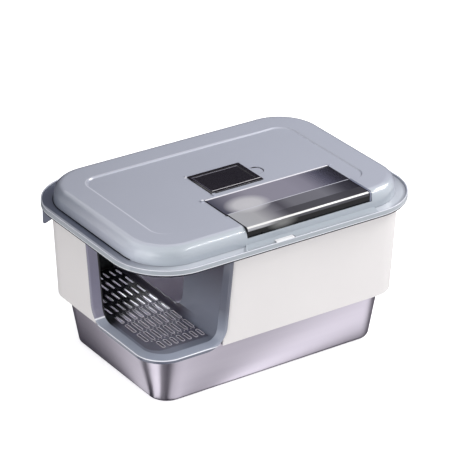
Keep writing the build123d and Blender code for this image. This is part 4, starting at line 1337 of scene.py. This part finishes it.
@dataclass
class Studio:
    """A pale floor, a plain world, soft lamps, dark cards and the camera. Lengths in metres.

    The cards' tones are pairs of a direction, in degrees from +X, and the brightness there.
    """

    eye: Point = (-2.3321, -3.4478, 2.3179)
    gaze: Point = (0.5007, 0.7401, -0.4490)
    roll: float = 0.42
    lens: float = 208.55
    sensor: float = 36.0
    clip_end: float = 200.0
    floor_size: float = 60.0
    floor_glow: float = 0.62
    sky: Colour = (0.97, 0.98, 1.0)
    sky_level: float = 0.8
    lamps: tuple[Lamp, ...] = (
        Lamp("Key", (2.3, -0.3, 2.1), 40.0, (1.3, 1.3)),
        Lamp("Edge strip", (1.1, -1.1, 1.8), 11.0, (1.9, 0.06), (0.1, -0.18, 0.3)),
        Lamp("Edge gloss", (1.1, -1.1, 1.8), 12.0, (1.9, 0.06), (0.1, -0.18, 0.3), False),
        Lamp("Left fill", (-2.8, -1.6, 0.5), 33.0, (1.6, 1.6), (-0.2, -0.1, 0.2)),
        Lamp("Inside", (0.06, 0.02, 0.2), 1.3, glossy=False),
        Lamp("Under floor", (-0.2, 0.1, 0.06), 0.4))
    left_tones: Tones = (
        (-180.0, 1.5), (-154.0, 1.45), (-143.0, 0.14), (-108.0, 0.14), (-92.0, 1.0),
        (-66.0, 1.1))
    far_tones: Tones = (
        (-10.0, 1.2), (4.0, 0.6), (20.0, 0.03), (118.0, 0.03), (131.0, 0.4), (139.0, 0.8),
        (144.0, 0.02), (168.0, 0.02), (174.0, 1.4), (180.0, 1.5))
    near_tones: Tones = (
        (-50.0, 1.15), (-40.0, 0.86), (-26.0, 0.68), (-18.0, 0.78), (-15.2, 1.05),
        (-12.5, 1.85), (-9.0, 1.9), (-3.0, 0.05), (60.0, 0.05), (96.0, 0.07), (105.0, 0.27),
        (107.0, 0.4), (111.0, 0.78), (118.0, 1.15), (139.0, 1.2), (144.0, 0.0), (168.0, 0.0),
        (174.0, 1.45), (180.0, 1.5))
    under_tones: Tones = ((-180.0, 0.02), (180.0, 0.02))
    card_power: float = 2.0
    card_tint: Colour = (1.0, 0.99, 1.0)
    card_least: Colour = (0.002, 0.0, 0.008)
    card_points: int = 64
    near_centre: Span = (-0.2147, -0.1273)
    near_reach: float = 0.7
    near_z: float = 0.0008
    far_reach: float = 3.0
    far_z: float = 0.0004
    ring_high: float = 2.3
    ring_foot: float = 0.001
    under_size: Point = (0.472, 0.304, 1.0)
    under_z: float = 0.0016
    flag_place: Point = (-0.55, 0.62, 0.95)
    flag_size: Point = (1.0, 1.3, 1.2)

    def build(self) -> None:
        """Sets the whole studio."""
        self.camera()
        self.world()
        self.floor()
        for lamp in self.lamps:
            lamp.hang()
        self.cards()
        self.flag()

    def camera(self) -> None:
        """Places the camera at the photograph's viewing angle."""
        data = bpy.data.cameras.new("Camera")
        data.sensor_width = self.sensor
        data.lens = self.lens
        data.clip_end = self.clip_end
        camera = bpy.data.objects.new("Camera", data)
        bpy.context.collection.objects.link(camera)
        turn = Vector(self.gaze).to_track_quat("-Z", "Y").to_matrix().to_4x4()
        lean = Matrix.Rotation(math.radians(self.roll), 4, "Z")
        camera.matrix_world = Matrix.Translation(self.eye) @ turn @ lean
        bpy.context.scene.camera = camera

    def world(self) -> None:
        """Makes a white background and an even, slightly cool skylight."""
        world = bpy.data.worlds.new("Studio world")
        bpy.context.scene.world = world
        world.use_nodes = True
        board = NodeBoard(world.node_tree)
        white, light = (
            board.node("Background", "Background", {"Color": (*colour, 1.0), "Strength": level})
            for colour, level in ((WHITE, 1.0), (self.sky, self.sky_level)))
        both = board.node("MixShader", "Shader", {"Fac": board.seen(), 1: light, 2: white})
        output = board.tree.nodes.new("ShaderNodeOutputWorld")
        board.link(both, output.inputs["Surface"])

    def floor(self) -> None:
        """Lays a white floor that keeps a soft shadow."""
        floor = Bench.start(bpy.ops.mesh.primitive_plane_add, size=self.floor_size)
        floor.name = "Floor"
        board = Board("Floor white")
        board.set(Base_Color=grey(0.8), Roughness=1.0, Specular_IOR_Level=0.0)
        plain = board.shader.outputs["BSDF"]
        glow = board.node("Emission", "Emission", {
            "Color": (*WHITE, 1.0), "Strength": self.floor_glow})
        both = board.node("AddShader", "Shader", {0: plain, 1: glow})
        mix = board.node("MixShader", "Shader", {"Fac": board.seen(), 1: plain, 2: both})
        board.link(mix, board.output.inputs["Surface"])
        floor.data.materials.append(board.material)

    def reflect(self, card: Object, name: str, tones: Tones,
                centre: Span = (0.0, 0.0)) -> None:
        """Makes a card that only reflections see, with its brightness by direction.

        Args:
            card: The card.
            name: Its name.
            tones: Directions and the brightness there.
            centre: Where the directions are taken from.
        """
        Bench.settle(card)
        card.name = name
        board = Board(name)
        place = board.node("Mapping", "Vector", {
            "Vector": board.coords, "Location": (-centre[0], -centre[1], 0.0)})
        around = board.node("TexGradient", "Fac", {"Vector": place}, gradient_type="RADIAL")
        stops = tuple(
            (turn / 360.0 + 0.5, tuple(
                tone * tint / self.card_power + least
                for tint, least in zip(self.card_tint, self.card_least)))
            for turn, tone in tones)
        glow = board.node("Emission", "Emission", {
            "Color": board.ramp(around, stops), "Strength": self.card_power})
        board.link(glow, board.output.inputs["Surface"])
        card.data.materials.append(board.material)
        Bench.hide(card, "camera", "diffuse", "transmission", "shadow", "volume_scatter")

    def cards(self) -> None:
        """Lays and stands the cards whose tones the steel and the gloss pick up."""
        far = self.left_tones + self.far_tones
        for name, reach, height, tones, centre in (
                ("Card far", self.far_reach, self.far_z, far, (0.0, 0.0)),
                ("Card near", self.near_reach, self.near_z,
                 self.left_tones + self.near_tones, self.near_centre)):
            sheet = Bench.start(
                bpy.ops.mesh.primitive_circle_add, vertices=self.card_points, radius=reach,
                fill_type="NGON", location=(0.0, 0.0, height))
            self.reflect(sheet, name, tones, centre)
        ring = Bench.start(
            bpy.ops.mesh.primitive_cylinder_add, vertices=self.card_points,
            radius=self.far_reach, depth=self.ring_high, end_fill_type="NOTHING",
            location=(0.0, 0.0, self.ring_high / 2 + self.ring_foot))
        self.reflect(ring, "Card ring", far)
        under = Bench.start(
            bpy.ops.mesh.primitive_plane_add, size=1.0, location=(0.0, 0.0, self.under_z))
        bpy.ops.transform.resize(value=self.under_size)
        self.reflect(under, "Card under", self.under_tones)

    def flag(self) -> None:
        """Stands a black flag at the back left, which keeps light off the left side."""
        flag = Bench.start(
            bpy.ops.mesh.primitive_plane_add, size=1.0, location=self.flag_place,
            rotation=(0.0, math.radians(90.0), 0.0))
        bpy.ops.transform.resize(value=self.flag_size)
        Bench.settle(flag)
        flag.name = "Flag left"
        board = Board("Flag black")
        board.set(Base_Color=grey(0.02), Roughness=1.0, Specular_IOR_Level=0.0)
        flag.data.materials.append(board.material)
        Bench.hide(flag, "camera", "glossy", "transmission", "volume_scatter")


def main() -> None:
    """Builds the looks and the studio in order."""
    logging.basicConfig(level=logging.INFO, format="%(message)s")
    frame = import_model()
    looks = finishes()
    for part in (Base, Entry, Rim, Lid, ScoopStore, Deodoriser):
        part(frame, looks).build()
    Studio().build()
    bpy.context.scene.view_settings.view_transform = "Standard"


if __name__ == "__main__":
    main()
